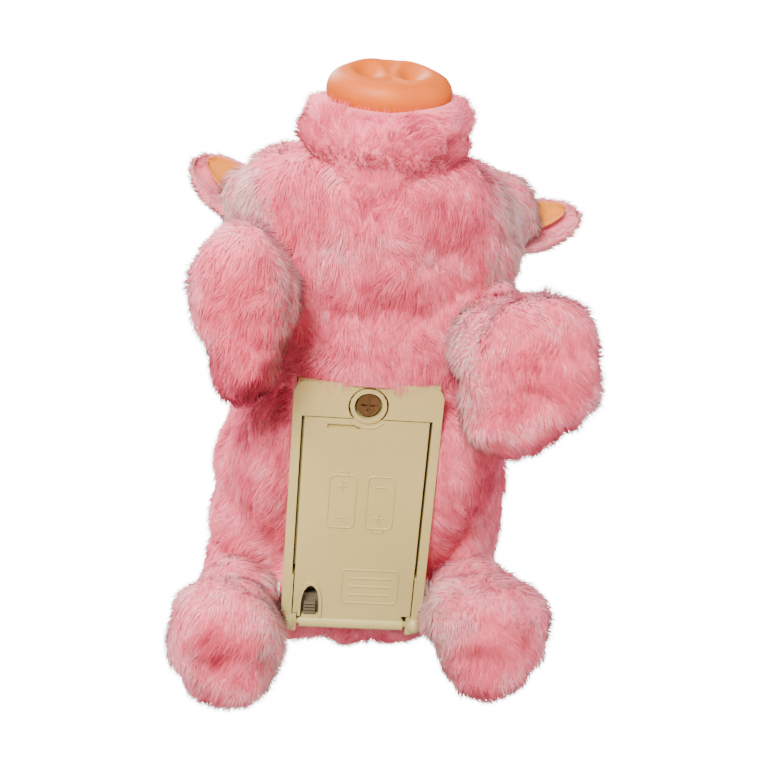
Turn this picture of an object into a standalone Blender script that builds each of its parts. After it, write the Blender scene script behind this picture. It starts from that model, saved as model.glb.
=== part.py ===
"""A walking plush piglet: stuffed body, four cranked legs, a sniffing snout and a wagging tail.

World frame: metres, +Z up, the piglet stands on z = 0 and faces -Y, its left side is +X.
Sizes below are millimetres and MM turns them into metres.
"""
import math

import bmesh
import bpy
from mathutils import Matrix, Vector

MM = 0.001
GAP = 0.3

# ---- driving sizes -------------------------------------------------------------------------
PLATE_HALF_WIDTH = 22.7
PLATE_FRONT = -3.5
PLATE_REAR = 83.0
PLATE_BOTTOM = 24.0
PLATE_THICK = 2.5
DOOR_HALF_WIDTH = 19.0
DOOR_FRONT = 8.0
DOOR_REAR = 76.6
DOOR_BOTTOM = PLATE_BOTTOM + 0.4
DOOR_THICK = 2.0
HINGE_Y = 80.0
HINGE_Z = DOOR_BOTTOM + DOOR_THICK / 2
SCREW_Y = 3.6
TONGUE_RADIUS = 5.7
TONGUE_STEPS = 12
SWITCH_X = -13.7
KNOB_Y = 74.7
# switch slot, from its pointed front to its rear: y, half width
SLOT_STATIONS = ((66.0, 0.3), (66.5, 1.1), (68.0, 2.1), (70.0, 2.6), (72.5, 2.9), (77.3, 2.9))

CASE_HALF_WIDTH = 21.5
CASE_WALL = 1.6
CASE_FRONT = -27.0
CASE_REAR = 82.5
DECK_BOTTOM = 43.0
DECK_TOP = 44.5
CASE_TOP = 76.0
CASE_SCREWS = ((-17.0, 3.0), (-17.0, 78.3), (17.0, 3.0), (17.0, 78.3))
WELL_FRONT = 7.6
WELL_REAR = 62.6

CELL_RADIUS = 7.2
CELL_Z = 35.2
CELL_FRONT = 10.0
CELL_REAR = 60.0

LEG_X = 41.0
LEG_RADIUS = 17.0
LEG_SIDES = 18
PIVOT_Z = 48.0
FRONT_PIVOT_Y = -19.6
HIND_PIVOT_Y = 71.9
FRONT_SWING = 7.5
HIND_SWING = 4.5
AXLE_RADIUS = 1.5

CRANK_Y = 30.2
CRANK_Z = 58.0
FRONT_PIN_RISE = CRANK_Z - PIVOT_Z
ROD_STROKE = 2 * FRONT_PIN_RISE * math.sin(math.radians(FRONT_SWING))
HIND_PIN_DROP = ROD_STROKE / (2 * math.sin(math.radians(HIND_SWING)))
CRANK_THROW = ROD_STROKE / 2
LINK_PIN_RADIUS = 1.1

MODULE = 0.7
PINION_TEETH = 9
WHEEL_TEETH = 27
GEAR_SPACING = MODULE * (PINION_TEETH + WHEEL_TEETH) / 2

SNOUT_CENTRE = Vector((0.0, -88.0, 45.0))
SNOUT_TILT = math.radians(5.0)
SNOUT_HALF_WIDTH = 18.6
SNOUT_HALF_HEIGHT = 15.4

TAIL_PIVOT_Y = 78.0
LINK_X = 6.0
LINK_BOTTOM = 77.6
LINK_TOP = 79.6

# x layers beside the case, from the crank out to the leg
CRANK_LAYER = (21.9, 23.1)
ROD_LAYER = (23.5, 24.7)
ARM_LAYER = (25.2, 28.2)
LEG_INNER_FACE = 28.6
FOOT_BAR_Z = 15.0
FOOT_TOP_Z = 20.5

# leg: height, radius across x, radius along y
LEG_STATIONS = (
    (0.0, 14.0, 15.0), (1.5, 17.3, 18.0), (5.0, 19.2, 19.8), (10.0, 19.6, 19.8), (15.0, 18.6, 18.8),
    (20.0, 17.4, 17.6), (32.0, 16.6, 16.6), (48.0, 17.0, 17.0), (57.0, 14.3, 14.3), (63.0, 8.2, 8.2),
    (65.0, 2.5, 2.5),
)
FOOT_BLEND = (20.0, 32.0)
# leg: name, side, pivot y, swing at rest, foot's shift outward and rearward, foot's breadth and length
LEGS = (
    ("right_front_leg", -1, FRONT_PIVOT_Y, -FRONT_SWING, -2.5, -1.5, 0.90, 1.22),
    ("left_front_leg", 1, FRONT_PIVOT_Y, FRONT_SWING, 5.0, 0.0, 0.97, 1.18),
    ("right_hind_leg", -1, HIND_PIVOT_Y, HIND_SWING, -1.0, 4.0, 1.0, 1.0),
    ("left_hind_leg", 1, HIND_PIVOT_Y, -HIND_SWING, 1.0, 6.0, 1.0, 1.0),
)

# ear root and tip on each side
EARS = {1: ((38.0, -33.0, 86.0), (67.0, -43.5, 89.0)), -1: ((-38.0, -36.0, 87.0), (-67.0, -50.5, 91.0))}

# muzzle collar: distance behind the snout disc, scale of the disc's oval
MUZZLE_STATIONS = (
    (4.8, 0.88), (5.8, 1.08), (8.5, 1.26), (13.0, 1.32), (18.0, 1.24), (24.0, 1.28), (34.0, 1.22),
)

# body outline: y, half width, lowest z, highest z
BODY_STATIONS = (
    (-74.0, 8.0, 50.0, 62.0),
    (-71.0, 22.0, 36.0, 76.0),
    (-64.0, 36.0, 27.5, 89.0),
    (-52.0, 44.0, 24.0, 99.0),
    (-36.0, 47.0, 23.0, 104.0),
    (-16.0, 46.0, 22.5, 104.0),
    (12.0, 46.5, 22.5, 102.0),
    (42.0, 50.0, 22.5, 103.0),
    (64.0, 50.0, 23.0, 100.0),
    (80.0, 41.0, 28.0, 92.0),
    (88.0, 27.0, 38.0, 82.0),
    (91.0, 10.0, 52.0, 68.0),
)
BODY_RINGS = 26
BODY_SIDES = 28

# ---- materials: colour, roughness, metallic -------------------------------------------------
MATERIALS = {
    "pink_plush": ((0.82, 0.34, 0.42), 0.95, 0.0),
    "peach_lining": ((0.85, 0.47, 0.33), 0.9, 0.0),
    "snout_vinyl": ((0.86, 0.40, 0.22), 0.35, 0.0),
    "cream_abs": ((0.66, 0.58, 0.37), 0.45, 0.0),
    "white_acetal": ((0.80, 0.79, 0.75), 0.4, 0.0),
    "black_acrylic": ((0.01, 0.01, 0.01), 0.08, 0.0),
    "steel": ((0.56, 0.57, 0.58), 0.3, 1.0),
    "nickel": ((0.66, 0.62, 0.55), 0.3, 1.0),
    "cell_wrap": ((0.05, 0.08, 0.10), 0.4, 0.0),
    "board_green": ((0.03, 0.20, 0.09), 0.5, 0.0),
    "dark_plastic": ((0.03, 0.03, 0.035), 0.5, 0.0),
}


def material(name):
    """Return the named Principled material, made on first use."""
    found = bpy.data.materials.get(name)
    if found:
        return found
    colour, roughness, metallic = MATERIALS[name]
    made = bpy.data.materials.new(name)
    made.use_nodes = True
    shader = made.node_tree.nodes["Principled BSDF"]
    shader.inputs["Base Color"].default_value = (*colour, 1.0)
    shader.inputs["Roughness"].default_value = roughness
    shader.inputs["Metallic"].default_value = metallic
    made.diffuse_color = (*colour, 1.0)
    return made


# ---- shapes: each returns a loose object with its corners in world metres ---------------------
def loose_object(bm):
    """Turn a bmesh into a loose object with outward faces."""
    bmesh.ops.recalc_face_normals(bm, faces=bm.faces)
    mesh = bpy.data.meshes.new("shape")
    bm.to_mesh(mesh)
    bm.free()
    shape = bpy.data.objects.new("shape", mesh)
    bpy.context.scene.collection.objects.link(shape)
    return shape


def loft(rings, triangles=False):
    """Skin a closed body through rings of equally many points, in millimetres."""
    bm = bmesh.new()
    loops = [[bm.verts.new(Vector(point) * MM) for point in ring] for ring in rings]
    for lower, upper in zip(loops, loops[1:]):
        for i in range(len(lower)):
            j = (i + 1) % len(lower)
            bm.faces.new((lower[i], lower[j], upper[j], upper[i]))
    bm.faces.new(list(reversed(loops[0])))
    bm.faces.new(loops[-1])
    if triangles:
        bmesh.ops.triangulate(bm, faces=bm.faces)
    return loose_object(bm)


def place(axis, along, across, up):
    """Put a point given along an axis, and across it, into x, y, z order."""
    if axis == "X":
        return (along, across, up)
    if axis == "Y":
        return (across, along, up)
    return (across, up, along)


def prism(outline, axis, low, high):
    """Extrude a closed outline along an axis between two heights."""
    return loft([[place(axis, height, a, b) for a, b in outline] for height in (low, high)])


def circle(centre, radius, sides=24):
    """Corners of a round outline."""
    steps = [2 * math.pi * i / sides for i in range(sides)]
    return [(centre[0] + radius * math.cos(a), centre[1] + radius * math.sin(a)) for a in steps]


def cylinder(axis, centre, radius, low, high, sides=16):
    """A round bar along an axis."""
    return prism(circle(centre, radius, sides), axis, low, high)


def box(x0, x1, y0, y1, z0, z1):
    """A plain block between two corners."""
    return prism([(x0, y0), (x1, y0), (x1, y1), (x0, y1)], "Z", z0, z1)


def rounded_outline(x0, x1, y0, y1, radius, steps=5):
    """A rectangle with round corners."""
    corners = ((x1, y1, 0), (x0, y1, 90), (x0, y0, 180), (x1, y0, 270))
    points = []
    for x, y, start in corners:
        centre_x = x - radius if x == x1 else x + radius
        centre_y = y - radius if y == y1 else y + radius
        for i in range(steps + 1):
            angle = math.radians(start + 90 * i / steps)
            points.append((centre_x + radius * math.cos(angle), centre_y + radius * math.sin(angle)))
    return points


def capsule_outline(start, end, radius, steps=8):
    """A bar with round ends between two points."""
    heading = math.atan2(end[1] - start[1], end[0] - start[0])
    points = []
    for centre, turn in ((end, -math.pi / 2), (start, math.pi / 2)):
        for i in range(steps + 1):
            angle = heading + turn + math.pi * i / steps
            points.append((centre[0] + radius * math.cos(angle), centre[1] + radius * math.sin(angle)))
    return points


def ball(centre, radii, segments=14, rings=9):
    """An ellipsoid."""
    bm = bmesh.new()
    bmesh.ops.create_uvsphere(bm, u_segments=segments, v_segments=rings, radius=1.0)
    sizes = Vector(radii) * MM
    bmesh.ops.scale(bm, vec=sizes, verts=bm.verts)
    bmesh.ops.translate(bm, vec=Vector(centre) * MM, verts=bm.verts)
    return loose_object(bm)


def tube(points, radii, sides=8):
    """A round tube through points, with a radius at each one."""
    rings = []
    for i, point in enumerate(points):
        ahead = points[min(i + 1, len(points) - 1)]
        behind = points[max(i - 1, 0)]
        heading = (ahead - behind).normalized()
        side = heading.cross(Vector((0, 0, 1)))
        side = (side if side.length > 0.1 else heading.cross(Vector((1, 0, 0)))).normalized()
        lift = side.cross(heading)
        ring = []
        for k in range(sides):
            angle = 2 * math.pi * k / sides
            ring.append(point + radii[i] * (side * math.cos(angle) + lift * math.sin(angle)))
        rings.append(ring)
    return loft(rings)


def turned(shape, pivot, angle, axis="X"):
    """Turn a loose shape about a point."""
    centre = Matrix.Translation(Vector(pivot) * MM)
    shape.data.transform(centre @ Matrix.Rotation(angle, 4, axis) @ centre.inverted())
    return shape


# ---- joining shapes into nodes -----------------------------------------------------------------
def cut_or_join(base, tool, operation):
    """Apply one exact Boolean to a loose shape and drop the tool."""
    modifier = base.modifiers.new(operation, "BOOLEAN")
    modifier.operation = operation
    modifier.solver = "EXACT"
    modifier.object = tool
    bpy.context.view_layer.update()
    graph = bpy.context.evaluated_depsgraph_get()
    result = bpy.data.meshes.new_from_object(base.evaluated_get(graph))
    base.modifiers.clear()
    base.data = result
    bpy.data.objects.remove(tool)


def node(name, look, shape, joined=(), cut=(), origin=(0, 0, 0), smooth=True):
    """Name a shape, after joining and cutting, and put its origin on its joint's axis."""
    for tool in joined:
        cut_or_join(shape, tool, "UNION")
    for tool in cut:
        cut_or_join(shape, tool, "DIFFERENCE")
    shape.name = name
    mesh = shape.data
    mesh.name = name
    offset = Vector(origin) * MM
    mesh.transform(Matrix.Translation(-offset))
    shape.location = offset
    mesh.materials.clear()
    mesh.materials.append(material(look))
    if smooth:
        mesh.shade_smooth()
        mesh.set_sharp_from_angle(angle=math.radians(35))
    return shape


# ---- plush ---------------------------------------------------------------------------------------
def station_at(y):
    """Smoothly interpolated half width, lowest z and highest z of the body at a place along it."""
    rows = BODY_STATIONS
    k = max(i for i in range(len(rows) - 1) if rows[i][0] <= y + 1e-9)
    start, end = rows[k], rows[k + 1]
    before, after = rows[max(k - 1, 0)], rows[min(k + 2, len(rows) - 1)]
    span = end[0] - start[0]
    t = (y - start[0]) / span
    values = []
    for c in (1, 2, 3):
        slope_in = (end[c] - before[c]) / (end[0] - before[0]) * span
        slope_out = (after[c] - start[c]) / (after[0] - start[0]) * span
        values.append((2 * t**3 - 3 * t**2 + 1) * start[c] + (t**3 - 2 * t**2 + t) * slope_in
                      + (3 * t**2 - 2 * t**3) * end[c] + (t**3 - t**2) * slope_out)
    return values


def body_shape(grow=0.0):
    """Head and barrel as one loft, grown outward all round when asked."""
    front, rear = BODY_STATIONS[0][0], BODY_STATIONS[-1][0]
    rings = []
    for i in range(BODY_RINGS + 1):
        # rings crowd towards both round ends
        y = (front + rear) / 2 - (rear - front) / 2 * math.cos(math.pi * i / BODY_RINGS)
        half_width, low, high = station_at(min(max(y, front), rear))
        end_grow = grow if i == BODY_RINGS else -grow if i == 0 else 0.0
        middle, half_height = (low + high) / 2, (high - low) / 2
        ring = []
        for k in range(BODY_SIDES):
            angle = 2 * math.pi * k / BODY_SIDES
            ring.append(((half_width + grow) * math.cos(angle), y + end_grow,
                         middle + (half_height + grow) * math.sin(angle)))
        rings.append(ring)
    return loft(rings)


def leg_pocket(side, pivot_y):
    """The room that a leg swings in."""
    clear = LEG_RADIUS + 2.3
    flare = clear + 7.0
    outline = [(pivot_y + clear * math.cos(a), PIVOT_Z + clear * math.sin(a))
               for a in (math.pi * i / 14 for i in range(15))]
    outline += [(pivot_y - flare, -2.0), (pivot_y + flare, -2.0)]
    inner = ROD_LAYER[1] + GAP
    low, high = sorted((side * inner, side * (LEG_X + LEG_RADIUS + 12.0)))
    return prism(outline, "X", low, high)


def build_body():
    """Stuffed body with the machine bay, the leg pockets and the snout and tail channels."""
    bay = ROD_LAYER[1] + GAP
    cuts = [
        box(-bay, bay, PLATE_FRONT - 0.8, PLATE_REAR + 0.8, 0, CASE_TOP + 1.2),
        box(-bay, bay, CASE_FRONT - 1.2, PLATE_FRONT, DECK_BOTTOM - 1.0, CASE_TOP + 1.2),
        turned(box(-8, 8, SNOUT_CENTRE.y, CASE_FRONT - 1.0, SNOUT_CENTRE.z - 7, SNOUT_CENTRE.z + 7),
               SNOUT_CENTRE, SNOUT_TILT),
        box(-4.5, LINK_X + 4.0, CASE_FRONT - 14.0, CASE_FRONT, 36.0, LINK_TOP + 4.0),
        box(-5.0, LINK_X + 4.0, CASE_FRONT - 6.0, PLATE_REAR, CASE_TOP, LINK_TOP + 4.0),
        box(-12.5, 12.5, TAIL_PIVOT_Y - 6.0, TAIL_PIVOT_Y + 7.0, CASE_TOP, 87.5),
        box(-9.5, 9.5, TAIL_PIVOT_Y, 99.0, CASE_TOP, 87.5),
    ]
    cuts += [leg_pocket(side, y) for side in (-1, 1) for y in (FRONT_PIVOT_Y, HIND_PIVOT_Y)]
    node("body_plush", "pink_plush", body_shape(), cut=cuts)


def build_muzzle():
    """Bunched plush collar between the head and the snout disc."""
    rings = []
    for behind, scale in MUZZLE_STATIONS:
        rings.append([(SNOUT_HALF_WIDTH * scale * math.cos(a), SNOUT_CENTRE.y + behind,
                       SNOUT_CENTRE.z + SNOUT_HALF_HEIGHT * scale * math.sin(a))
                      for a in (2 * math.pi * k / 22 for k in range(22))])
    shape = turned(loft(rings), SNOUT_CENTRE, SNOUT_TILT)
    hole = cylinder("Y", (0, SNOUT_CENTRE.z), 6.0, SNOUT_CENTRE.y, SNOUT_CENTRE.y + 40)
    stem_hole = turned(hole, SNOUT_CENTRE, SNOUT_TILT)
    node("muzzle_plush", "pink_plush", shape, cut=[stem_hole, body_shape(0.4)])


def leg_centre_line(pivot_y, swing_deg, rake):
    """Place along y of the leg's middle at a height, at rest."""
    slope = math.tan(math.radians(swing_deg)) + rake / PIVOT_Z
    return lambda z: pivot_y + (PIVOT_Z - min(z, PIVOT_Z)) * slope


def build_leg(name, side, pivot_y, swing_deg, splay, rake, broad, long):
    """Stuffed leg and the armature inside it, both turning on the leg's axle."""
    middle = leg_centre_line(pivot_y, swing_deg, rake)
    rings = []
    for z, across, along in LEG_STATIONS:
        centre_x = LEG_X + splay * (1 - min(z, PIVOT_Z) / PIVOT_Z)
        # the foot's own breadth and length fade out up the leg
        foot = min(max((FOOT_BLEND[1] - z) / (FOOT_BLEND[1] - FOOT_BLEND[0]), 0.0), 1.0)
        across *= 1 + (broad - 1) * foot
        along *= 1 + (long - 1) * foot
        rings.append([(side * centre_x + across * math.cos(a), middle(z) + along * math.sin(a), z)
                      for a in (2 * math.pi * k / LEG_SIDES for k in range(LEG_SIDES))])
    origin = (0, pivot_y, PIVOT_Z)
    foot_y = middle(FOOT_BAR_Z)
    arm_y = foot_y + (pivot_y - foot_y) * (FOOT_TOP_Z + 2 - FOOT_BAR_Z) / (PIVOT_Z - FOOT_BAR_Z)
    above_foot = sorted((0, side * LEG_INNER_FACE))
    bar_room = sorted((side * ARM_LAYER[0], side * 46))
    arm_room = sorted((side * (ARM_LAYER[0] - GAP), side * (LEG_INNER_FACE - 0.1)))
    axle_room = sorted((side * 20, side * 34))
    cuts = [box(*above_foot, pivot_y - 40, pivot_y + 40, FOOT_TOP_Z, 80),
            box(*bar_room, foot_y - 5.2, foot_y + 5.2, 10.5, 19.5),
            prism(capsule_outline((foot_y, FOOT_BAR_Z), (arm_y, FOOT_TOP_Z + 2), 5.2), "X", *arm_room),
            cylinder("X", (pivot_y, PIVOT_Z), 4.6, *axle_room)]
    node(name + "_plush", "pink_plush", loft(rings, triangles=True), cut=cuts, origin=origin)

    front = pivot_y == FRONT_PIVOT_Y
    pin_reach = FRONT_PIN_RISE if front else -HIND_PIN_DROP
    lean = math.radians(swing_deg)
    pin_spot = (pivot_y - pin_reach * math.sin(lean), PIVOT_Z + pin_reach * math.cos(lean))
    layer = sorted((side * ARM_LAYER[0], side * ARM_LAYER[1]))
    pin_layer = sorted((side * (ROD_LAYER[0] + 0.1), side * (ARM_LAYER[0] + 0.5)))
    bar_layer = sorted((side * (ARM_LAYER[1] - 0.5), side * 45))
    arm = prism(capsule_outline((foot_y, FOOT_BAR_Z), (pivot_y, PIVOT_Z), 4.2), "X", *layer)
    parts = [cylinder("X", (pivot_y, PIVOT_Z), 5.4, *layer),
             box(*bar_layer, foot_y - 4.2, foot_y + 4.2, 11.5, 18.5),
             prism(capsule_outline((pivot_y, PIVOT_Z), pin_spot, 3.4), "X", *layer),
             cylinder("X", pin_spot, LINK_PIN_RADIUS, *pin_layer, 16)]
    bore = cylinder("X", (pivot_y, PIVOT_Z), AXLE_RADIUS + GAP, *sorted((side * 20, side * 40)))
    node(name + "_armature", "white_acetal", arm, joined=parts, cut=[bore], origin=origin)


def ear_frame(side):
    """Root, outward direction and lining side of an ear."""
    root, tip = (Vector(point) for point in EARS[side])
    reach = (tip - root).normalized()
    facing = Vector((0.0, -0.76, -0.65))
    facing = (facing - reach * facing.dot(reach)).normalized()
    return root, reach, facing, (tip - root).length


def leaf(side, width, length, start, lift, thick, cup):
    """A cupped pointed leaf: rows across the ear from root to tip."""
    root, reach, facing, _ = ear_frame(side)
    across = facing.cross(reach).normalized()
    rows, columns = 6, 6
    front_rows, back_rows = [], []
    for i in range(rows + 1):
        t = i / rows
        half = width / 2 * (1 - t**2.2) ** 0.75 + 0.6
        base = root + reach * (start + (length - start) * t)
        front, back = [], []
        for j in range(columns + 1):
            s = 2 * j / columns - 1
            middle = base + across * (half * s) + facing * (lift + cup * s * s * (1 - 0.5 * t))
            front.append(middle + facing * thick / 2)
            back.append(middle - facing * thick / 2)
        front_rows.append(front)
        back_rows.append(back)
    rings = [front + list(reversed(back)) for front, back in zip(front_rows, back_rows)]
    return loft(rings)


def build_ears():
    """Plush ears, each with a peach lining on the side that faces down and forward."""
    for side, name in ((1, "left_ear"), (-1, "right_ear")):
        length = ear_frame(side)[3]
        outer = leaf(side, 24.0, length, 0.0, 0.0, 4.2, 4.0)
        node(name, "pink_plush", outer, cut=[body_shape(0.4)])
        lining = leaf(side, 14.0, length - 6.0, 0.0, 2.95, 0.9, 5.6)
        node(name + "_lining", "peach_lining", lining, cut=[body_shape(0.4)])


def build_eyes():
    """Glossy domed eyes on the head."""
    for side, name in ((1, "left_eye"), (-1, "right_eye")):
        dome = ball((side * 20.0, -66.0, 80.0), (4.6, 4.6, 4.6))
        node(name, "black_acrylic", dome, cut=[body_shape(0.4)])


# ---- belly plate, door and switch ---------------------------------------------------------------
def door_outline(grow):
    """Battery door with its round screw tongue at the front, grown for the opening."""
    radius = TONGUE_RADIUS + grow
    half = DOOR_HALF_WIDTH + grow
    front = DOOR_FRONT - grow
    rear = DOOR_REAR + grow
    meet = math.asin((front - SCREW_Y) / radius)
    # tongue from its meeting point with the door's front edge, round the front of the screw
    tongue = [(radius * math.cos(a), SCREW_Y + radius * math.sin(a))
              for a in (meet - (math.pi + 2 * meet) * i / TONGUE_STEPS for i in range(TONGUE_STEPS + 1))]
    return [(half, front), (half, rear), (-half, rear), (-half, front)] + list(reversed(tongue))


def build_belly_case():
    """Belly plate, battery well, switch bay and the deck that carries the gearbox."""
    plate = prism(rounded_outline(-PLATE_HALF_WIDTH, PLATE_HALF_WIDTH, PLATE_FRONT, PLATE_REAR, 4.0),
                  "Z", PLATE_BOTTOM, PLATE_BOTTOM + PLATE_THICK)
    plate_top = PLATE_BOTTOM + PLATE_THICK
    walls = box(-CASE_HALF_WIDTH, CASE_HALF_WIDTH, PLATE_FRONT + 0.3, CASE_REAR,
                PLATE_BOTTOM + 1.0, DECK_BOTTOM + 0.5)
    deck = box(-CASE_HALF_WIDTH, CASE_HALF_WIDTH, CASE_FRONT, CASE_REAR, DECK_BOTTOM, DECK_TOP)
    inner = CASE_HALF_WIDTH - CASE_WALL
    well = box(-inner, inner, WELL_FRONT, WELL_REAR, 0, DECK_BOTTOM)
    bay = box(-inner, inner, WELL_REAR + 1.2, CASE_REAR - CASE_WALL, plate_top, DECK_BOTTOM)
    nose_bay = box(-inner, inner, PLATE_FRONT + 2.4, WELL_FRONT - 1.4, plate_top, DECK_BOTTOM)
    opening = prism(door_outline(0.4), "Z", 0, plate_top + 0.05)
    barrel_notch = box(-17.8, 17.8, DOOR_REAR, PLATE_REAR + 2, 0, plate_top + 1.5)
    tongue_room = cylinder("Z", (0, SCREW_Y), TONGUE_RADIUS + 0.45, 0, 29.4, 24)
    knuckles = [turned(ball((side * 20.5, HINGE_Y, HINGE_Z), (2.6, 3.1, 3.1)), (0, HINGE_Y, HINGE_Z), 0.13)
                for side in (-1, 1)]
    boss = cylinder("Z", (0, SCREW_Y), 3.6, 29.8, DECK_BOTTOM + 0.5)
    screw_bore = cylinder("Z", (0, SCREW_Y), 2.1, 20, 40)
    shape = plate
    for tool in (walls, deck):
        cut_or_join(shape, tool, "UNION")
    for tool in (well, bay, nose_bay, opening, barrel_notch, tongue_room):
        cut_or_join(shape, tool, "DIFFERENCE")
    for tool in (*knuckles, boss):
        cut_or_join(shape, tool, "UNION")
    pin_holes = [cylinder("X", (HINGE_Y, HINGE_Z), 1.3, *sorted((side * 16, side * 21.6)))
                 for side in (-1, 1)]
    deck_holes = [cylinder("Z", place_xy, 1.9, 40, 46) for place_xy in CASE_SCREWS]
    node("belly_case", "cream_abs", shape, cut=[screw_bore, *pin_holes, *deck_holes])


def slot_outline(grow):
    """Switch slot: a pointed arch that opens towards the hinge, grown for its rim."""
    left = [(SWITCH_X - half - grow, y - grow * (y < 68)) for y, half in SLOT_STATIONS]
    right = [(SWITCH_X + half + grow, y - grow * (y < 68)) for y, half in reversed(SLOT_STATIONS)]
    return left + right


def build_door():
    """Battery door with hinge barrel, screw tongue, switch slot, nail slit and raised marks."""
    origin = (0, HINGE_Y, HINGE_Z)
    top = DOOR_BOTTOM + DOOR_THICK
    panel = prism(door_outline(0), "Z", DOOR_BOTTOM, top)
    boss = cylinder("Z", (0, SCREW_Y), TONGUE_RADIUS - 0.15, PLATE_BOTTOM - 0.1, 29.0, 22)
    strap = box(-16.2, 16.2, DOOR_REAR - 2, HINGE_Y, DOOR_BOTTOM, top)
    barrel = cylinder("X", (HINGE_Y, HINGE_Z), 2.0, -16.8, 16.8, 16)
    pins = cylinder("X", (HINGE_Y, HINGE_Z), 1.0, -20.8, 20.8, 12)
    rim = prism(slot_outline(0.9), "Z", PLATE_BOTTOM - 0.4, top - 0.2)
    slot = prism(slot_outline(0), "Z", 10, 40)
    counterbore = cylinder("Z", (0, SCREW_Y), 4.3, 10, 27.2, 22)
    through = cylinder("Z", (0, SCREW_Y), 2.1, 10, 40)
    nail_slit = box(-12.0, -2.0, 10.0, 11.4, 10, DOOR_BOTTOM + 0.9)
    node("battery_door", "cream_abs", panel, joined=[boss, strap, barrel, pins, rim],
         cut=[slot, counterbore, through, nail_slit], origin=origin)


def build_door_screw():
    """Captive cross-head screw of the battery door."""
    head = cylinder("Z", (0, SCREW_Y), 3.6, 25.2, 26.9, 20)
    shank = cylinder("Z", (0, SCREW_Y), 1.5, 26.5, 33.4, 16)
    cross = [box(-2.0, 2.0, SCREW_Y - 0.45, SCREW_Y + 0.45, 20, 26.2),
             box(-0.45, 0.45, SCREW_Y - 2.0, SCREW_Y + 2.0, 20, 26.2)]
    node("battery_door_screw", "steel", head, joined=[shank], cut=cross, origin=(0, SCREW_Y, 25.2))


def build_switch():
    """Slide switch behind the cells and its knob in the door's slot."""
    body = box(SWITCH_X - 4.5, SWITCH_X + 4.5, 66.0, 79.0, 29.2, 36.0)
    lugs = box(SWITCH_X - 1.5, SWITCH_X + 1.5, 67.6, 77.4, 35.5, 39.0)
    node("switch_body", "dark_plastic", body, joined=[lugs])
    flange = box(SWITCH_X - 3.6, SWITCH_X + 3.6, KNOB_Y - 4.1, KNOB_Y + 2.9, 26.9, 28.7)
    stem = box(SWITCH_X - 1.9, SWITCH_X + 1.9, KNOB_Y - 2.1, KNOB_Y + 2.1, 24.5, 27.2)
    grooves = [box(SWITCH_X - 3, SWITCH_X + 3, KNOB_Y + y, KNOB_Y + y + 0.5, 20, 25.1)
               for y in (-1.35, -0.25, 0.85)]
    node("switch_knob", "cream_abs", flange, joined=[stem], cut=grooves, origin=(SWITCH_X, KNOB_Y, 26.9))


def build_cells():
    """Two cells side by side and their contacts."""
    for name, x, nub_at_rear in (("battery_a", -7.6, True), ("battery_b", 7.6, False)):
        can = cylinder("Y", (x, CELL_Z), CELL_RADIUS, CELL_FRONT, CELL_REAR, 20)
        ends = (CELL_REAR - 0.5, CELL_REAR + 1.0) if nub_at_rear else (CELL_FRONT - 1.0, CELL_FRONT + 0.5)
        nub = cylinder("Y", (x, CELL_Z), 2.7, *ends, 16)
        node(name, "cell_wrap", can, joined=[nub])
    node("bridge_contact", "nickel", box(-13.5, 13.5, WELL_FRONT + 0.3, WELL_FRONT + 0.8, 30, 41),
         joined=[ball((-7.6, WELL_FRONT + 1.3, CELL_Z), (2.5, 0.9, 2.5), 12, 8)])
    bump = ball((7.6, WELL_REAR - 1.5, CELL_Z), (2.5, 0.9, 2.5), 12, 8)
    for name, x, joined in (("positive_contact", -7.6, []), ("negative_contact", 7.6, [bump])):
        strip = box(x - 5.0, x + 5.0, WELL_REAR - 0.9, WELL_REAR - 0.4, 30, 41)
        node(name, "nickel", strip, joined=joined)


# ---- gearbox ----------------------------------------------------------------------------------
def build_top_case():
    """Gearbox cover with axle holes, crank holes, screw bosses and the tail lever's post."""
    inner = CASE_HALF_WIDTH - CASE_WALL
    shell = box(-CASE_HALF_WIDTH, CASE_HALF_WIDTH, CASE_FRONT, CASE_REAR, DECK_TOP + GAP, CASE_TOP)
    hollow = box(-inner, inner, CASE_FRONT + CASE_WALL, CASE_REAR - CASE_WALL, 0, CASE_TOP - CASE_WALL)
    cut_or_join(shell, hollow, "DIFFERENCE")
    bosses = [cylinder("Z", place_xy, 3.0, 52.0, CASE_TOP - 0.5) for place_xy in CASE_SCREWS]
    post = cylinder("Z", (0, TAIL_PIVOT_Y), 1.5, CASE_TOP - 0.5, 82.8, 16)
    bores = [cylinder("Z", place_xy, 1.8, 44, 62) for place_xy in CASE_SCREWS]
    wide = CASE_HALF_WIDTH + 5
    axle_holes = [cylinder("X", (y, PIVOT_Z), AXLE_RADIUS + GAP, -wide, wide)
                  for y in (FRONT_PIVOT_Y, HIND_PIVOT_Y)]
    crank_hole = cylinder("X", (CRANK_Y, CRANK_Z), 2.4, -wide, wide)
    node("top_case", "white_acetal", shell, joined=[*bosses, post], cut=[*bores, *axle_holes, crank_hole])


def build_axles():
    """Steel axles that the legs turn on, and the two pins of the reduction gears."""
    for name, y in (("front_axle", FRONT_PIVOT_Y), ("hind_axle", HIND_PIVOT_Y)):
        axle = cylinder("X", (y, PIVOT_Z), AXLE_RADIUS, -30.5, 30.5)
        caps = [cylinder("X", (y, PIVOT_Z), 3.0, *sorted((side * (ARM_LAYER[1] + GAP), side * 30.2)))
                for side in (-1, 1)]
        node(name, "steel", axle, joined=caps)
    for name, k in (("second_gear_pin", 1), ("first_gear_pin", 2)):
        node(name, "steel", cylinder("X", (CRANK_Y + GEAR_SPACING * k, CRANK_Z), 1.0, 3.6, 19.6, 16))


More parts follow.
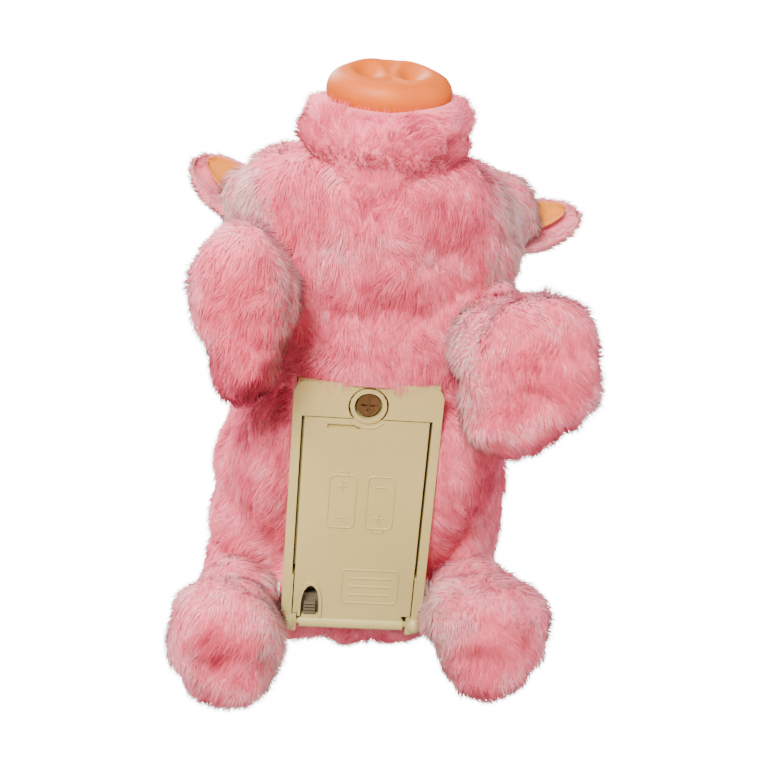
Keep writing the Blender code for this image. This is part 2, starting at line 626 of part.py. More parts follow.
def build_case_screws():
    """Self-tapping screws that hold the gearbox cover on the deck."""
    for i, (x, y) in enumerate(CASE_SCREWS):
        shank = cylinder("Z", (x, y), 1.4, DECK_BOTTOM - 1.5, 56.0, 14)
        head = cylinder("Z", (x, y), 2.6, DECK_BOTTOM - 2.4, DECK_BOTTOM - GAP)
        node(f"case_screw_{i + 1}", "steel", shank, joined=[head])


def gear_outline(teeth, centre, phase):
    """Spur gear outline with straight-sided teeth and running clearance."""
    pitch = MODULE * teeth / 2
    step = 2 * math.pi / teeth
    # radius, share of a tooth pitch either side of the tooth's middle
    flank = ((pitch - 1.15 * MODULE, 0.25), (pitch + 0.75 * MODULE, 0.10))
    points = []
    for k in range(teeth):
        middle = phase + k * step
        for (radius, share), sign in ((flank[0], -1), (flank[1], -1), (flank[1], 1), (flank[0], 1)):
            angle = middle + sign * share * step
            points.append((centre[0] + radius * math.cos(angle), centre[1] + radius * math.sin(angle)))
    return points


def gear(teeth, y, phase, layer):
    """One toothed wheel about an axis along X."""
    return prism(gear_outline(teeth, (y, CRANK_Z), phase), "X", *layer)


def build_gears():
    """Motor pinion, two compound gears and the crankshaft with its wheel and cranks."""
    wheel_step = 2 * math.pi / WHEEL_TEETH
    layers = {"a": (13.0, 16.0), "b": (9.0, 12.0), "c": (5.0, 8.0)}
    second_y = CRANK_Y + GEAR_SPACING
    first_y = CRANK_Y + 2 * GEAR_SPACING
    motor_y = CRANK_Y + 3 * GEAR_SPACING
    # a wheel meets the pinion on its +y side with a tooth gap, and the pinion shows it a tooth at pi
    wheel_phase = wheel_step / 2
    pinion_phase = math.pi
    for name, y, wheel_layer, pinion_layer in (("second_reduction_gear", second_y, "b", "c"),
                                               ("first_reduction_gear", first_y, "a", "b")):
        wheel = gear(WHEEL_TEETH, y, wheel_phase, layers[wheel_layer])
        pinion_low = layers[pinion_layer][0]
        pinion = gear(PINION_TEETH, y, pinion_phase, (pinion_low, layers[wheel_layer][0] + 0.5))
        bore = cylinder("X", (y, CRANK_Z), 1.3, 0, 30, 16)
        node(name, "white_acetal", wheel, joined=[pinion], cut=[bore], origin=(0, y, CRANK_Z), smooth=False)
    pinion = gear(PINION_TEETH, motor_y, pinion_phase, (12.6, 16.6))
    node("motor_pinion", "white_acetal", pinion, origin=(0, motor_y, CRANK_Z), smooth=False,
         cut=[cylinder("X", (motor_y, CRANK_Z), 1.0 + GAP, 0, 15.5, 16)])

    wheel = gear(WHEEL_TEETH, CRANK_Y, wheel_phase, layers["c"])
    shaft = cylinder("X", (CRANK_Y, CRANK_Z), 2.0, -CRANK_LAYER[0] + GAP, CRANK_LAYER[0] - GAP)
    node("crankshaft", "white_acetal", shaft, joined=[wheel], origin=(0, CRANK_Y, CRANK_Z), smooth=False)
    for side, name in ((1, "left_crank"), (-1, "right_crank")):
        layer = sorted((side * CRANK_LAYER[0], side * CRANK_LAYER[1]))
        disc = cylinder("X", (CRANK_Y, CRANK_Z), 4.4, *layer)
        # the two cranks stand half a turn apart, each at the end of its rod's stroke
        pin_y = CRANK_Y + (CRANK_THROW if side < 0 else -CRANK_THROW)
        pin_layer = sorted((side * 22.5, side * ROD_LAYER[1]))
        pin = cylinder("X", (pin_y, CRANK_Z), LINK_PIN_RADIUS, *pin_layer, 16)
        node(name, "white_acetal", disc, joined=[pin], origin=(0, CRANK_Y, CRANK_Z))


def build_motor():
    """Flat-sided motor with its shaft."""
    y = CRANK_Y + 3 * GEAR_SPACING
    can = cylinder("X", (y, CRANK_Z), 9.6, -13.0, 8.0, 28)
    flats = [box(-20, 20, y - 20, y + 20, CRANK_Z + 7.4, CRANK_Z + 20),
             box(-20, 20, y - 20, y + 20, CRANK_Z - 20, CRANK_Z - 7.4)]
    for tool in flats:
        cut_or_join(can, tool, "DIFFERENCE")
    boss = cylinder("X", (y, CRANK_Z), 3.0, 7.5, 9.5)
    shaft = cylinder("X", (y, CRANK_Z), 1.0, 9.0, 15.2, 16)
    node("motor", "steel", can, joined=[boss, shaft])


def build_gear_frame():
    """Upright plate that holds the gear pins and steadies the crankshaft."""
    plate = box(1.7, 3.3, 18.0, 56.6, DECK_TOP + GAP, 71.0)
    node("gear_frame", "white_acetal", plate, cut=[cylinder("X", (CRANK_Y, CRANK_Z), 2.4, 0, 5)])


def build_side_rods():
    """Flat rods that tie each side's front leg, crank and hind leg together."""
    for side, name in ((1, "left_side_rod"), (-1, "right_side_rod")):
        forward = side < 0
        front_lean = math.radians(-FRONT_SWING if forward else FRONT_SWING)
        hind_lean = math.radians(HIND_SWING if forward else -HIND_SWING)
        front_pin = (FRONT_PIVOT_Y - FRONT_PIN_RISE * math.sin(front_lean),
                     PIVOT_Z + FRONT_PIN_RISE * math.cos(front_lean))
        hind_pin = (HIND_PIVOT_Y + HIND_PIN_DROP * math.sin(hind_lean),
                    PIVOT_Z - HIND_PIN_DROP * math.cos(hind_lean))
        elbow = (HIND_PIVOT_Y - 20.0, CRANK_Z)
        layer = sorted((side * ROD_LAYER[0], side * ROD_LAYER[1]))
        bar = prism(capsule_outline(front_pin, elbow, 3.2), "X", *layer)
        drop = prism(capsule_outline(elbow, hind_pin, 3.2), "X", *layer)
        yoke = box(*layer, CRANK_Y - 7.5, CRANK_Y + 7.5, CRANK_Z - 5.4, CRANK_Z + 5.4)
        eyes = [cylinder("X", pin, LINK_PIN_RADIUS + 0.45, -40, 40, 16) for pin in (front_pin, hind_pin)]
        # the crank pin's circle, and the rod's own stroke past it
        reach = CRANK_THROW + LINK_PIN_RADIUS + 0.5
        ends = (CRANK_Y - reach, CRANK_Y + reach + ROD_STROKE) if forward else \
            (CRANK_Y - reach - ROD_STROKE, CRANK_Y + reach)
        window = box(-40, 40, *ends, CRANK_Z - reach, CRANK_Z + reach)
        node(name, "white_acetal", bar, joined=[drop, yoke], cut=[*eyes, window],
             origin=(0, CRANK_Y, CRANK_Z))


# ---- snout, tail and electronics -----------------------------------------------------------------
def build_snout():
    """Vinyl snout disc and the carrier that pushes it and pulls the tail lever."""
    # distance behind the disc's middle, scale of the oval: a rounded coin
    stations = ((-6.9, 0.80), (-6.2, 0.91), (-4.6, 0.98), (-2.0, 1.0), (0.8, 0.98), (2.3, 0.93))
    rings = [[(SNOUT_HALF_WIDTH * scale * math.cos(a), SNOUT_CENTRE.y + behind,
               SNOUT_CENTRE.z + SNOUT_HALF_HEIGHT * scale * math.sin(a))
              for a in (2 * math.pi * k / 28 for k in range(28))] for behind, scale in stations]
    nostrils = [ball((side * 6.3, SNOUT_CENTRE.y - 7.6, SNOUT_CENTRE.z + 1.0), (2.6, 3.2, 3.8), 12, 8)
                for side in (-1, 1)]
    recess = prism(circle((0, SNOUT_CENTRE.z), 12.0, 24), "Y", SNOUT_CENTRE.y + 0.2, SNOUT_CENTRE.y + 10)
    disc = loft(rings)
    for tool in (*nostrils, recess):
        cut_or_join(disc, tool, "DIFFERENCE")
    node("snout_disc", "snout_vinyl", turned(disc, SNOUT_CENTRE, SNOUT_TILT), origin=SNOUT_CENTRE)

    flange = cylinder("Y", (0, SNOUT_CENTRE.z), 11.4, SNOUT_CENTRE.y + 0.5, SNOUT_CENTRE.y + 2.0)
    stem = cylinder("Y", (0, SNOUT_CENTRE.z), 3.2, SNOUT_CENTRE.y + 1.5, SNOUT_CENTRE.y + 53.0)
    carrier = turned(flange, SNOUT_CENTRE, SNOUT_TILT)
    post_y = CASE_FRONT - 9.0
    post = box(-2.5, LINK_X + 2.0, post_y - 2.5, post_y + 2.5, 39.5, LINK_TOP)
    link = box(LINK_X - 2.0, LINK_X + 2.0, post_y - 2.0, TAIL_PIVOT_Y + 2.2, LINK_BOTTOM, LINK_TOP)
    pin = cylinder("Z", (LINK_X, TAIL_PIVOT_Y), 1.0, LINK_TOP - 0.5, 82.4, 14)
    node("snout_carrier", "white_acetal", carrier, origin=SNOUT_CENTRE,
         joined=[turned(stem, SNOUT_CENTRE, SNOUT_TILT), post, link, pin])


def build_tail():
    """Curled plush tail on a lever that the snout carrier works."""
    pivot = (0, TAIL_PIVOT_Y, 81.4)
    lever = prism(capsule_outline((0, TAIL_PIVOT_Y), (LINK_X + 2.2, TAIL_PIVOT_Y), 3.2), "Z", 80.4, 82.2)
    rod = cylinder("Y", (0, 81.3), 1.4, TAIL_PIVOT_Y + 2.5, 90.5, 16)
    hole = cylinder("Z", (0, TAIL_PIVOT_Y), 1.5 + GAP, 70, 90, 18)
    slot_outline = capsule_outline((LINK_X - 0.7, TAIL_PIVOT_Y), (LINK_X + 0.9, TAIL_PIVOT_Y), 1.4)
    slot = prism(slot_outline, "Z", 70, 90)
    node("tail_lever", "white_acetal", lever, joined=[rod], cut=[hole, slot], origin=pivot)
    points, radii = [], []
    for i in range(16):
        t = i / 15
        angle = 2.2 * math.pi * t
        coil = 4.6 * (1 - 0.35 * t)
        sideways = 7.0 * t - 1.0 + 1.2 * math.sin(math.pi * t)
        behind = 91.4 + coil * (0.2 + 0.55 * math.sin(angle))
        points.append(Vector((sideways, behind, 81.4 + coil * (1 - math.cos(angle)) * 0.9)))
        radii.append(2.7 - 1.3 * t)
    socket = cylinder("Y", (0, 81.3), 1.4 + GAP, 84, 90.8, 16)
    base = ball((0, 89.6, 81.4), (3.2, 3.6, 3.2), 14, 10)
    node("tail_plush", "pink_plush", tube(points, radii), joined=[base], cut=[socket], origin=pivot)


def build_electronics():
    """Circuit board with its parts, and the speaker."""
    board = box(-14.0, 14.0, -23.5, 9.5, 53.0, 54.2)
    chips = [box(-6.0, 6.0, -12.0, -3.0, 54.0, 56.2), box(8.5, 12.0, -20.0, -14.0, 54.0, 57.0),
             box(-12.0, -8.5, 0.0, 5.0, 54.0, 56.0), cylinder("Z", (9.5, 4.0), 2.6, 54.0, 60.0, 16)]
    node("circuit_board", "board_green", board, joined=chips)
    frame = cylinder("Z", (0, -8.0), 13.0, 68.0, 70.5, 24)
    magnet = cylinder("Z", (0, -8.0), 7.5, 62.5, 68.5, 20)
    cone = cylinder("Z", (0, -8.0), 10.5, 69.7, 72.0, 20)
    node("speaker", "dark_plastic", frame, joined=[magnet], cut=[cone])


def main():
    """Clear the scene and build every node."""
    for old in list(bpy.data.objects):
        bpy.data.objects.remove(old)
    build_body()
    build_muzzle()
    build_ears()
    build_eyes()
    for leg in LEGS:
        build_leg(*leg)
    build_belly_case()
    build_door()
    build_door_screw()
    build_switch()
    build_cells()
    build_top_case()
    build_axles()
    build_case_screws()
    build_gears()
    build_motor()
    build_gear_frame()
    build_side_rods()
    build_snout()
    build_tail()
    build_electronics()


main()
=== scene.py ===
"""Looks of the walking plush piglet: stuffed skins, pile, vinyl snout and the moulded belly plate."""
import math

import bmesh
import bpy
import numpy as np
from mathutils import Matrix, Vector
from mathutils.kdtree import KDTree


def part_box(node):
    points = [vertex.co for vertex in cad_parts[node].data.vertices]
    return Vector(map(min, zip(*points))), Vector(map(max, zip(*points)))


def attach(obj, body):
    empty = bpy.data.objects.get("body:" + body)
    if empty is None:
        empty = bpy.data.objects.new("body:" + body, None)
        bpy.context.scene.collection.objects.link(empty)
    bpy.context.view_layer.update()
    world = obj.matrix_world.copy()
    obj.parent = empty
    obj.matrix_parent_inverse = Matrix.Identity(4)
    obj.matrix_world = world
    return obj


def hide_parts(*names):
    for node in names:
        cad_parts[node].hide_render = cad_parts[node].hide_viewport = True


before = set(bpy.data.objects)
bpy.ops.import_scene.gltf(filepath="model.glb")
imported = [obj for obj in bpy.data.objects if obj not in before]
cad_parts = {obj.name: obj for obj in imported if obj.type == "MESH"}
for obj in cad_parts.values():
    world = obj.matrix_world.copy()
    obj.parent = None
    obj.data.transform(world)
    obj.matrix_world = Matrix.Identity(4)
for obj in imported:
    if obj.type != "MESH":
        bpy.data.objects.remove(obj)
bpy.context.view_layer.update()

MM = 0.001
ROOT = "body"
# leg: name, hip's place along y, middle of the sole, half breadth and half length of the foot, seed
LEGS = (
    ("right_front_leg", -23.5, (-38.8, -28.4), (13.4, 25.6), 400),
    ("left_front_leg", -20.0, (46.4, -13.8), (18.8, 24.4), 460),
    ("right_hind_leg", 72.5, (-39.4, 80.6), (18.4, 20.6), 520),
    ("left_hind_leg", 71.9, (44.0, 75.6), (17.6, 20.4), 580),
)

# ---- camera: from under the chest, leaning back towards the snout ----------------------------------------
CAMERA_TILT = math.radians(21.0)
CAMERA_SWAY = math.radians(5.0)
CAMERA_ROLL = math.radians(5.0)
CAMERA_DISTANCE = 0.360
CAMERA_AIM = Vector((0.004, -0.004, 0.024))
CAMERA_LENS = 56.4

# ---- places ----------------------------------------------------------------------------------------------
SNOUT_LOW, SNOUT_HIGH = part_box("snout_disc")
SNOUT_HALF_WIDTH = (SNOUT_HIGH.x - SNOUT_LOW.x) / 2
SNOUT_HALF_HEIGHT = 14.0 * MM
PLATE_HALF_WIDTH = 22.7 * MM
PLATE_FRONT = -3.5 * MM
PLATE_REAR = 83.0 * MM
OPENING_HALF_WIDTH = 21.9 * MM
SCREW_BOSS_RADIUS = 6.5 * MM
TAIL_ROOT_HEIGHT = 81.3 * MM
DOOR_FACE = 24.4 * MM
EYE_RADII = Vector((4.5, 3.4, 4.5)) * MM
# ear: name, side, root and tip in millimetres, seed; both linings face down and forward
EARS = (
    ("left_ear", 1, (40.0, -34.5, 84.5), (72.0, -42.0, 89.0), 700),
    ("right_ear", -1, (-38.0, -38.0, 86.5), (-61.5, -51.5, 91.0), 800),
)
LINING_FACING = Vector((0.0, -0.76, -0.65))
SNOUT_CENTRE = Vector((0.0, -88.0, 45.0)) * MM
SNOUT_TILT = math.radians(5.0)

# ---- pile ------------------------------------------------------------------------------------------------
PILE_DENSITY = 2.8e6
PILE_LENGTH = 4.7 * MM
PILE_WIDTH = 0.27 * MM
STRANDS_PER_TUFT = 14
TUFT_PULL = (0.05, 0.42)
STRAND_GIRTH = (0.4, 0.7)
STRAND_SINK = 0.3 * MM
FLOOR_CLEARANCE = 0.1 * MM
SWIRL_WIDTH, RIPPLE_WIDTH = 22 * MM, 6 * MM
FINE_STREAK, BROAD_STREAK = 3.2 * MM, 13 * MM
# a fibre's length as a share of the pile's, and its lean from upright in radians
SHORTEST, LONGEST = 0.5, 1.3
STEEPEST, FLATTEST = 0.35, 1.42

# tones of the pile, from deep rose to pale tips, then the greyer ones, which paint shade on the sides of the
# head, the legs' insides and the ears
PILE_TONES = {
    "pile_rose": (0.46, 0.036, 0.076),
    "pile_deep": (0.66, 0.068, 0.124),
    "pile_mid": (0.80, 0.114, 0.174),
    "pile_light": (0.87, 0.175, 0.236),
    "pile_pale": (0.89, 0.315, 0.358),
    "pile_shade_grey_deep": (0.38, 0.150, 0.145),
    "pile_shade_grey": (0.57, 0.270, 0.255),
    "pile_shade_grey_pale": (0.74, 0.430, 0.405),
}
PINK_TONES = 5
SHADE_GREY_TONES = 3


# ---- materials -------------------------------------------------------------------------------------------
def new_material(name):
    """An empty Principled material and its node helpers."""
    made = bpy.data.materials.new(name)
    made.use_nodes = True
    tree = made.node_tree
    return made, tree, tree.nodes["Principled BSDF"]


def noise(tree, scale, detail=4.0, roughness=0.55):
    """Object-space noise, in repeats per metre."""
    coords = tree.nodes.new("ShaderNodeTexCoord")
    texture = tree.nodes.new("ShaderNodeTexNoise")
    texture.inputs["Scale"].default_value = scale
    texture.inputs["Detail"].default_value = detail
    texture.inputs["Roughness"].default_value = roughness
    tree.links.new(coords.outputs["Object"], texture.inputs["Vector"])
    return texture.outputs["Fac"]


def ramp(tree, value, stops):
    """A colour ramp over a value."""
    node = tree.nodes.new("ShaderNodeValToRGB")
    elements = node.color_ramp.elements
    while len(elements) < len(stops):
        elements.new(0.5)
    for element, (place, colour) in zip(elements, stops):
        element.position = place
        element.color = (*colour, 1.0)
    tree.links.new(value, node.inputs["Fac"])
    return node.outputs["Color"]


def bump(tree, shader, height, strength, distance):
    """Relief from a height value."""
    node = tree.nodes.new("ShaderNodeBump")
    node.inputs["Strength"].default_value = strength
    node.inputs["Distance"].default_value = distance
    tree.links.new(height, node.inputs["Height"])
    tree.links.new(node.outputs["Normal"], shader.inputs["Normal"])


def scaled(colour, factor):
    """A colour made lighter or darker."""
    return tuple(min(1.0, c * factor) for c in colour)


def moulded(name, colour, roughness, grain=2600.0, relief=0.25):
    """Injection-moulded plastic: faint flow mottling, spark-eroded grain, uneven gloss."""
    made, tree, shader = new_material(name)
    tint = ramp(tree, noise(tree, 45.0), ((0.25, scaled(colour, 0.94)), (0.75, scaled(colour, 1.06))))
    tree.links.new(tint, shader.inputs["Base Color"])
    low, high = roughness - 0.07, roughness + 0.09
    gloss = ramp(tree, noise(tree, 160.0), ((0.3, (low,) * 3), (0.7, (high,) * 3)))
    tree.links.new(gloss, shader.inputs["Roughness"])
    bump(tree, shader, noise(tree, grain, 2.0), relief, 0.03 * MM)
    return made


def metal(name, colour, roughness=0.28):
    """Plated or turned metal with fine brushing."""
    made, tree, shader = new_material(name)
    shader.inputs["Metallic"].default_value = 1.0
    tint = ramp(tree, noise(tree, 300.0), ((0.3, scaled(colour, 0.86)), (0.7, scaled(colour, 1.06))))
    tree.links.new(tint, shader.inputs["Base Color"])
    low, high = roughness - 0.1, roughness + 0.12
    gloss = ramp(tree, noise(tree, 1800.0, 6.0), ((0.3, (low,) * 3), (0.7, (high,) * 3)))
    tree.links.new(gloss, shader.inputs["Roughness"])
    bump(tree, shader, noise(tree, 1800.0), 0.2, 0.02 * MM)
    return made


def backing_cloth(name, deep, light):
    """Knitted backing under the pile: rose mottling with a fine loop relief."""
    made, tree, shader = new_material(name)
    tint = ramp(tree, noise(tree, 420.0, 6.0, 0.7), ((0.30, deep), (0.72, light)))
    tree.links.new(tint, shader.inputs["Base Color"])
    shader.inputs["Roughness"].default_value = 0.95
    shader.inputs["Specular IOR Level"].default_value = 0.1
    shader.inputs["Sheen Weight"].default_value = 0.3
    bump(tree, shader, noise(tree, 1500.0, 3.0), 0.8, 0.3 * MM)
    return made


def pile_tone(name, colour):
    """One tone of the pile fibres: the same all along the fibre, soft and slightly glossy."""
    made, _, shader = new_material(name)
    shader.inputs["Base Color"].default_value = (*colour, 1.0)
    shader.inputs["Roughness"].default_value = 0.7
    shader.inputs["Specular IOR Level"].default_value = 0.15
    shader.inputs["Sheen Weight"].default_value = 0.05
    shader.inputs["Sheen Roughness"].default_value = 0.5
    shader.inputs["Sheen Tint"].default_value = (1.0, 0.84, 0.86, 1.0)
    return made


def snout_vinyl():
    """Soft peach vinyl with a satin gloss and pores."""
    made, tree, shader = new_material("snout_vinyl_soft")
    deep, light = (0.44, 0.074, 0.0003), (0.52, 0.105, 0.0006)
    tint = ramp(tree, noise(tree, 90.0, 5.0), ((0.3, deep), (0.72, light)))
    tree.links.new(tint, shader.inputs["Base Color"])
    gloss = ramp(tree, noise(tree, 240.0), ((0.3, (0.44,) * 3), (0.7, (0.58,) * 3)))
    tree.links.new(gloss, shader.inputs["Roughness"])
    shader.inputs["Subsurface Weight"].default_value = 0.15
    shader.inputs["Subsurface Radius"].default_value = (0.004, 0.002, 0.001)
    shader.inputs["Subsurface Scale"].default_value = 1.0
    shader.inputs["Specular IOR Level"].default_value = 0.22
    bump(tree, shader, noise(tree, 1300.0, 3.0), 0.25, 0.1 * MM)
    return made


def lining_felt():
    """Brushed peach lining of the ears."""
    made, tree, shader = new_material("ear_lining_felt")
    deep, light = (0.50, 0.145, 0.004), (0.62, 0.195, 0.010)
    tint = ramp(tree, noise(tree, 700.0, 6.0, 0.7), ((0.3, deep), (0.7, light)))
    tree.links.new(tint, shader.inputs["Base Color"])
    shader.inputs["Roughness"].default_value = 0.9
    shader.inputs["Sheen Weight"].default_value = 0.08
    bump(tree, shader, noise(tree, 2600.0, 4.0), 0.7, 0.25 * MM)
    return made


def eye_acrylic():
    """Polished black eye with a faint brown mottle."""
    made, tree, shader = new_material("eye_acrylic")
    deep, light = (0.006, 0.004, 0.003), (0.022, 0.011, 0.006)
    tint = ramp(tree, noise(tree, 60.0), ((0.35, deep), (0.75, light)))
    tree.links.new(tint, shader.inputs["Base Color"])
    shader.inputs["Roughness"].default_value = 0.06
    shader.inputs["Coat Weight"].default_value = 0.8
    shader.inputs["Coat Roughness"].default_value = 0.03
    return made


def paint_cad_nodes():
    """Give each carried-over CAD node a finish of its own kind; the switch knob's dark brown is painted shade
    for its slot.
    """
    cream = moulded("cream_abs_moulded", (0.43, 0.36, 0.125), 0.40)
    acetal = moulded("white_acetal_moulded", (0.74, 0.73, 0.68), 0.36)
    charcoal = moulded("charcoal_moulded", (0.03, 0.03, 0.033), 0.5)
    board = moulded("board_solder_mask", (0.03, 0.19, 0.08), 0.35, grain=900.0)
    wrap = moulded("cell_wrap_film", (0.05, 0.09, 0.12), 0.3, relief=0.04)
    steel = metal("plated_steel", (0.56, 0.56, 0.57))
    screw = metal("blackened_screw", (0.24, 0.16, 0.085), 0.35)
    # dark brown of the switch knob: painted shade, so that its slot reads dark
    slot_shade_umber = moulded("umber_painted_slot_shade", (0.11, 0.085, 0.05), 0.5)
    nickel = metal("nickel_spring", (0.66, 0.62, 0.55))
    finishes = {
        "belly_case": cream, "battery_door": cream, "switch_knob": slot_shade_umber, "battery_door_screw": screw,
        "battery_a": wrap, "battery_b": wrap, "circuit_board": board, "speaker": charcoal,
        "switch_body": charcoal, "motor": steel, "front_axle": steel, "hind_axle": steel,
        "first_gear_pin": steel, "second_gear_pin": steel, "bridge_contact": nickel,
        "positive_contact": nickel, "negative_contact": nickel,
    }
    for name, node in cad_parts.items():
        finish = finishes.get(name, steel if name.startswith("case_screw") else acetal)
        node.data.materials.clear()
        node.data.materials.append(finish)


def soften_edges(name, width):
    """Round off a moulded CAD node's edges, as a mould does."""
    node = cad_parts[name]
    weld = node.modifiers.new("weld", "WELD")
    weld.merge_threshold = 0.01 * MM
    bevel = node.modifiers.new("bevel", "BEVEL")
    bevel.width = width
    bevel.segments = 2
    bevel.limit_method = "ANGLE"
    bevel.angle_limit = math.radians(38)
    node.modifiers.new("normals", "WEIGHTED_NORMAL")


# ---- shapes ----------------------------------------------------------------------------------------------
def link(name, mesh):
    """A new object of a mesh, in the scene."""
    made = bpy.data.objects.new(name, mesh)
    bpy.context.scene.collection.objects.link(made)
    return made


def part(name, bm):
    """A new object of what a bmesh holds."""
    mesh = bpy.data.meshes.new(name)
    bm.to_mesh(mesh)
    bm.free()
    return link(name, mesh)


def lofted(name, bm, rings):
    """A new closed object through rings of bmesh vertices."""
    for lower, upper in zip(rings, rings[1:]):
        for k in range(len(lower)):
            j = (k + 1) % len(lower)
            bm.faces.new((lower[k], lower[j], upper[j], upper[k]))
    bm.faces.new(list(reversed(rings[0])))
    bm.faces.new(rings[-1])
    bmesh.ops.recalc_face_normals(bm, faces=bm.faces)
    return part(name, bm)


def tube(name, curve):
    """A new mesh object of a bevelled curve."""
    drawn = link(name, curve)
    graph = bpy.context.evaluated_depsgraph_get()
    made = link(name + "_mesh", bpy.data.meshes.new_from_object(drawn.evaluated_get(graph)))
    bpy.data.objects.remove(drawn)
    made.name = name
    made.data.shade_smooth()
    made.data.materials.clear()
    return made


def bevelled_curve(name, bevel, resolution, count):
    """A round curve with its ends closed, and a straight-segment line in it of count points."""
    curve = bpy.data.curves.new(name, "CURVE")
    curve.dimensions = "3D"
    curve.bevel_depth = bevel
    curve.bevel_resolution = resolution
    curve.use_fill_caps = True
    line = curve.splines.new("POLY")
    line.points.add(count - 1)
    return curve, line


def settle(obj):
    """Bake an object's modifiers into its mesh."""
    bpy.context.view_layer.update()
    graph = bpy.context.evaluated_depsgraph_get()
    result = bpy.data.meshes.new_from_object(obj.evaluated_get(graph))
    obj.modifiers.clear()
    obj.data = result


def stuffed(name, lumps, voxel, smooth_steps):
    """A stuffed skin: overlapping lumps fused by a voxel remesh and relaxed.

    A lump is (centre, radii, turn about X), in millimetres and degrees.
    """
    bm = bmesh.new()
    for centre, radii, turn in lumps:
        made = bmesh.ops.create_uvsphere(bm, u_segments=36, v_segments=24, radius=1.0)
        place = (Matrix.Translation(Vector(centre) * MM) @ Matrix.Rotation(math.radians(turn), 4, "X")
                 @ Matrix.Diagonal((*(Vector(radii) * MM), 1.0)))
        bmesh.ops.transform(bm, matrix=place, verts=made["verts"])
    skin = part(name, bm)
    remesh = skin.modifiers.new("remesh", "REMESH")
    remesh.mode = "VOXEL"
    remesh.voxel_size = voxel * MM
    smooth = skin.modifiers.new("smooth", "SMOOTH")
    smooth.factor = 0.5
    smooth.iterations = smooth_steps
    settle(skin)
    skin.data.shade_smooth()
    return skin


def corners(mesh):
    """Vertex places and normals as arrays."""
    count = len(mesh.vertices)
    places, normals = np.empty(count * 3, np.float32), np.empty(count * 3, np.float32)
    mesh.vertices.foreach_get("co", places)
    mesh.vertex_normals.foreach_get("vector", normals)
    return places.reshape(-1, 3).astype(float), normals.reshape(-1, 3).astype(float)


def move_corners(mesh, places):
    """Put a mesh's vertices at new places."""
    mesh.vertices.foreach_set("co", places.astype(np.float32).ravel())
    mesh.update()


def waves(points, scale, seed):
    """Smooth random field between about -1 and 1, with features about `scale` metres wide."""
    terms = 7
    rng = np.random.default_rng(seed)
    headings = rng.normal(size=(terms, 3))
    headings /= np.linalg.norm(headings, axis=1)[:, None]
    pitch = 2 * math.pi / scale * rng.uniform(0.6, 1.5, terms)
    phase = rng.uniform(0, 2 * math.pi, terms)
    return np.sin(points @ (headings * pitch[:, None]).T + phase).sum(1) / math.sqrt(terms)


def distance_to_line(points, line):
    """Distance from each point to a polyline, in metres."""
    best = np.full(len(points), 1e3)
    for start, end in zip(line[:-1], line[1:]):
        along = end - start
        share = np.clip(((points - start) @ along) / (along @ along), 0, 1)
        best = np.minimum(best, np.linalg.norm(points - start - share[:, None] * along, axis=1))
    return best


# seams of the body skin, in millimetres: both sides of the chin panel and the belly
SEAM_LINES = (
    ((21, -71, 33), (27, -63, 31), (30, -50, 30), (29, -38, 29), (27, -24, 28), (26, -6, 27)),
    ((26, 4, 27), (31, 24, 29), (35, 48, 31), (30, 66, 32)),
)
SEAMS = [[(side * x * MM, y * MM, z * MM) for x, y, z in line] for line in SEAM_LINES for side in (-1, 1)]


def seam_depth(points, reach=3.0 * MM):
    """1 in a seam, falling to 0 at `reach` from it."""
    nearest = np.min([distance_to_line(points, np.array(line)) for line in SEAMS], axis=0)
    return np.clip(1 - nearest / reach, 0, 1) ** 1.5


def patch(points, centre, radii):
    """1 at a place, fading out over radii, in millimetres."""
    return np.exp(-(((points / MM - np.array(centre, float)) / np.array(radii, float)) ** 2).sum(1))


def patches(points, table):
    """Sum of weighted patches: a table of (weight, centre, radii)."""
    return sum(weight * patch(points, centre, radii) for weight, centre, radii in table)


def unit(vectors):
    """Vectors of length 1."""
    return vectors / np.maximum(np.linalg.norm(vectors, axis=1), 1e-12)[:, None]


# ---- pile ------------------------------------------------------------------------------------------------
def scatter(mesh, density, rng, keep):
    """Random places and normals over a mesh, evenly by area."""
    places, normals = corners(mesh)
    mesh.calc_loop_triangles()
    triangles = np.empty(len(mesh.loop_triangles) * 3, np.int32)
    mesh.loop_triangles.foreach_get("vertices", triangles)
    triangles = triangles.reshape(-1, 3)
    a, b, c = (places[triangles[:, i]] for i in range(3))
    areas = np.linalg.norm(np.cross(b - a, c - a), axis=1) / 2
    count = int(areas.sum() * density)
    chosen = rng.choice(len(triangles), count, p=areas / areas.sum())
    u, v = rng.random(count), rng.random(count)
    flip = u + v > 1
    u[flip], v[flip] = 1 - u[flip], 1 - v[flip]
    weights = np.stack([1 - u - v, u, v], axis=1)[:, :, None]
    points = (places[triangles[chosen]] * weights).sum(1)
    facing = unit((normals[triangles[chosen]] * weights).sum(1))
    kept = keep(points, facing)
    return points[kept], facing[kept]


def tuft_centres(roots, rng):
    """For each strand, the strand that leads its tuft."""
    leaders = rng.choice(len(roots), max(1, len(roots) // STRANDS_PER_TUFT), replace=False)
    tree = KDTree(len(leaders))
    for i, leader in enumerate(leaders):
        tree.insert(roots[leader], i)
    tree.balance()
    return np.array([leaders[tree.find(root)[1]] for root in roots])


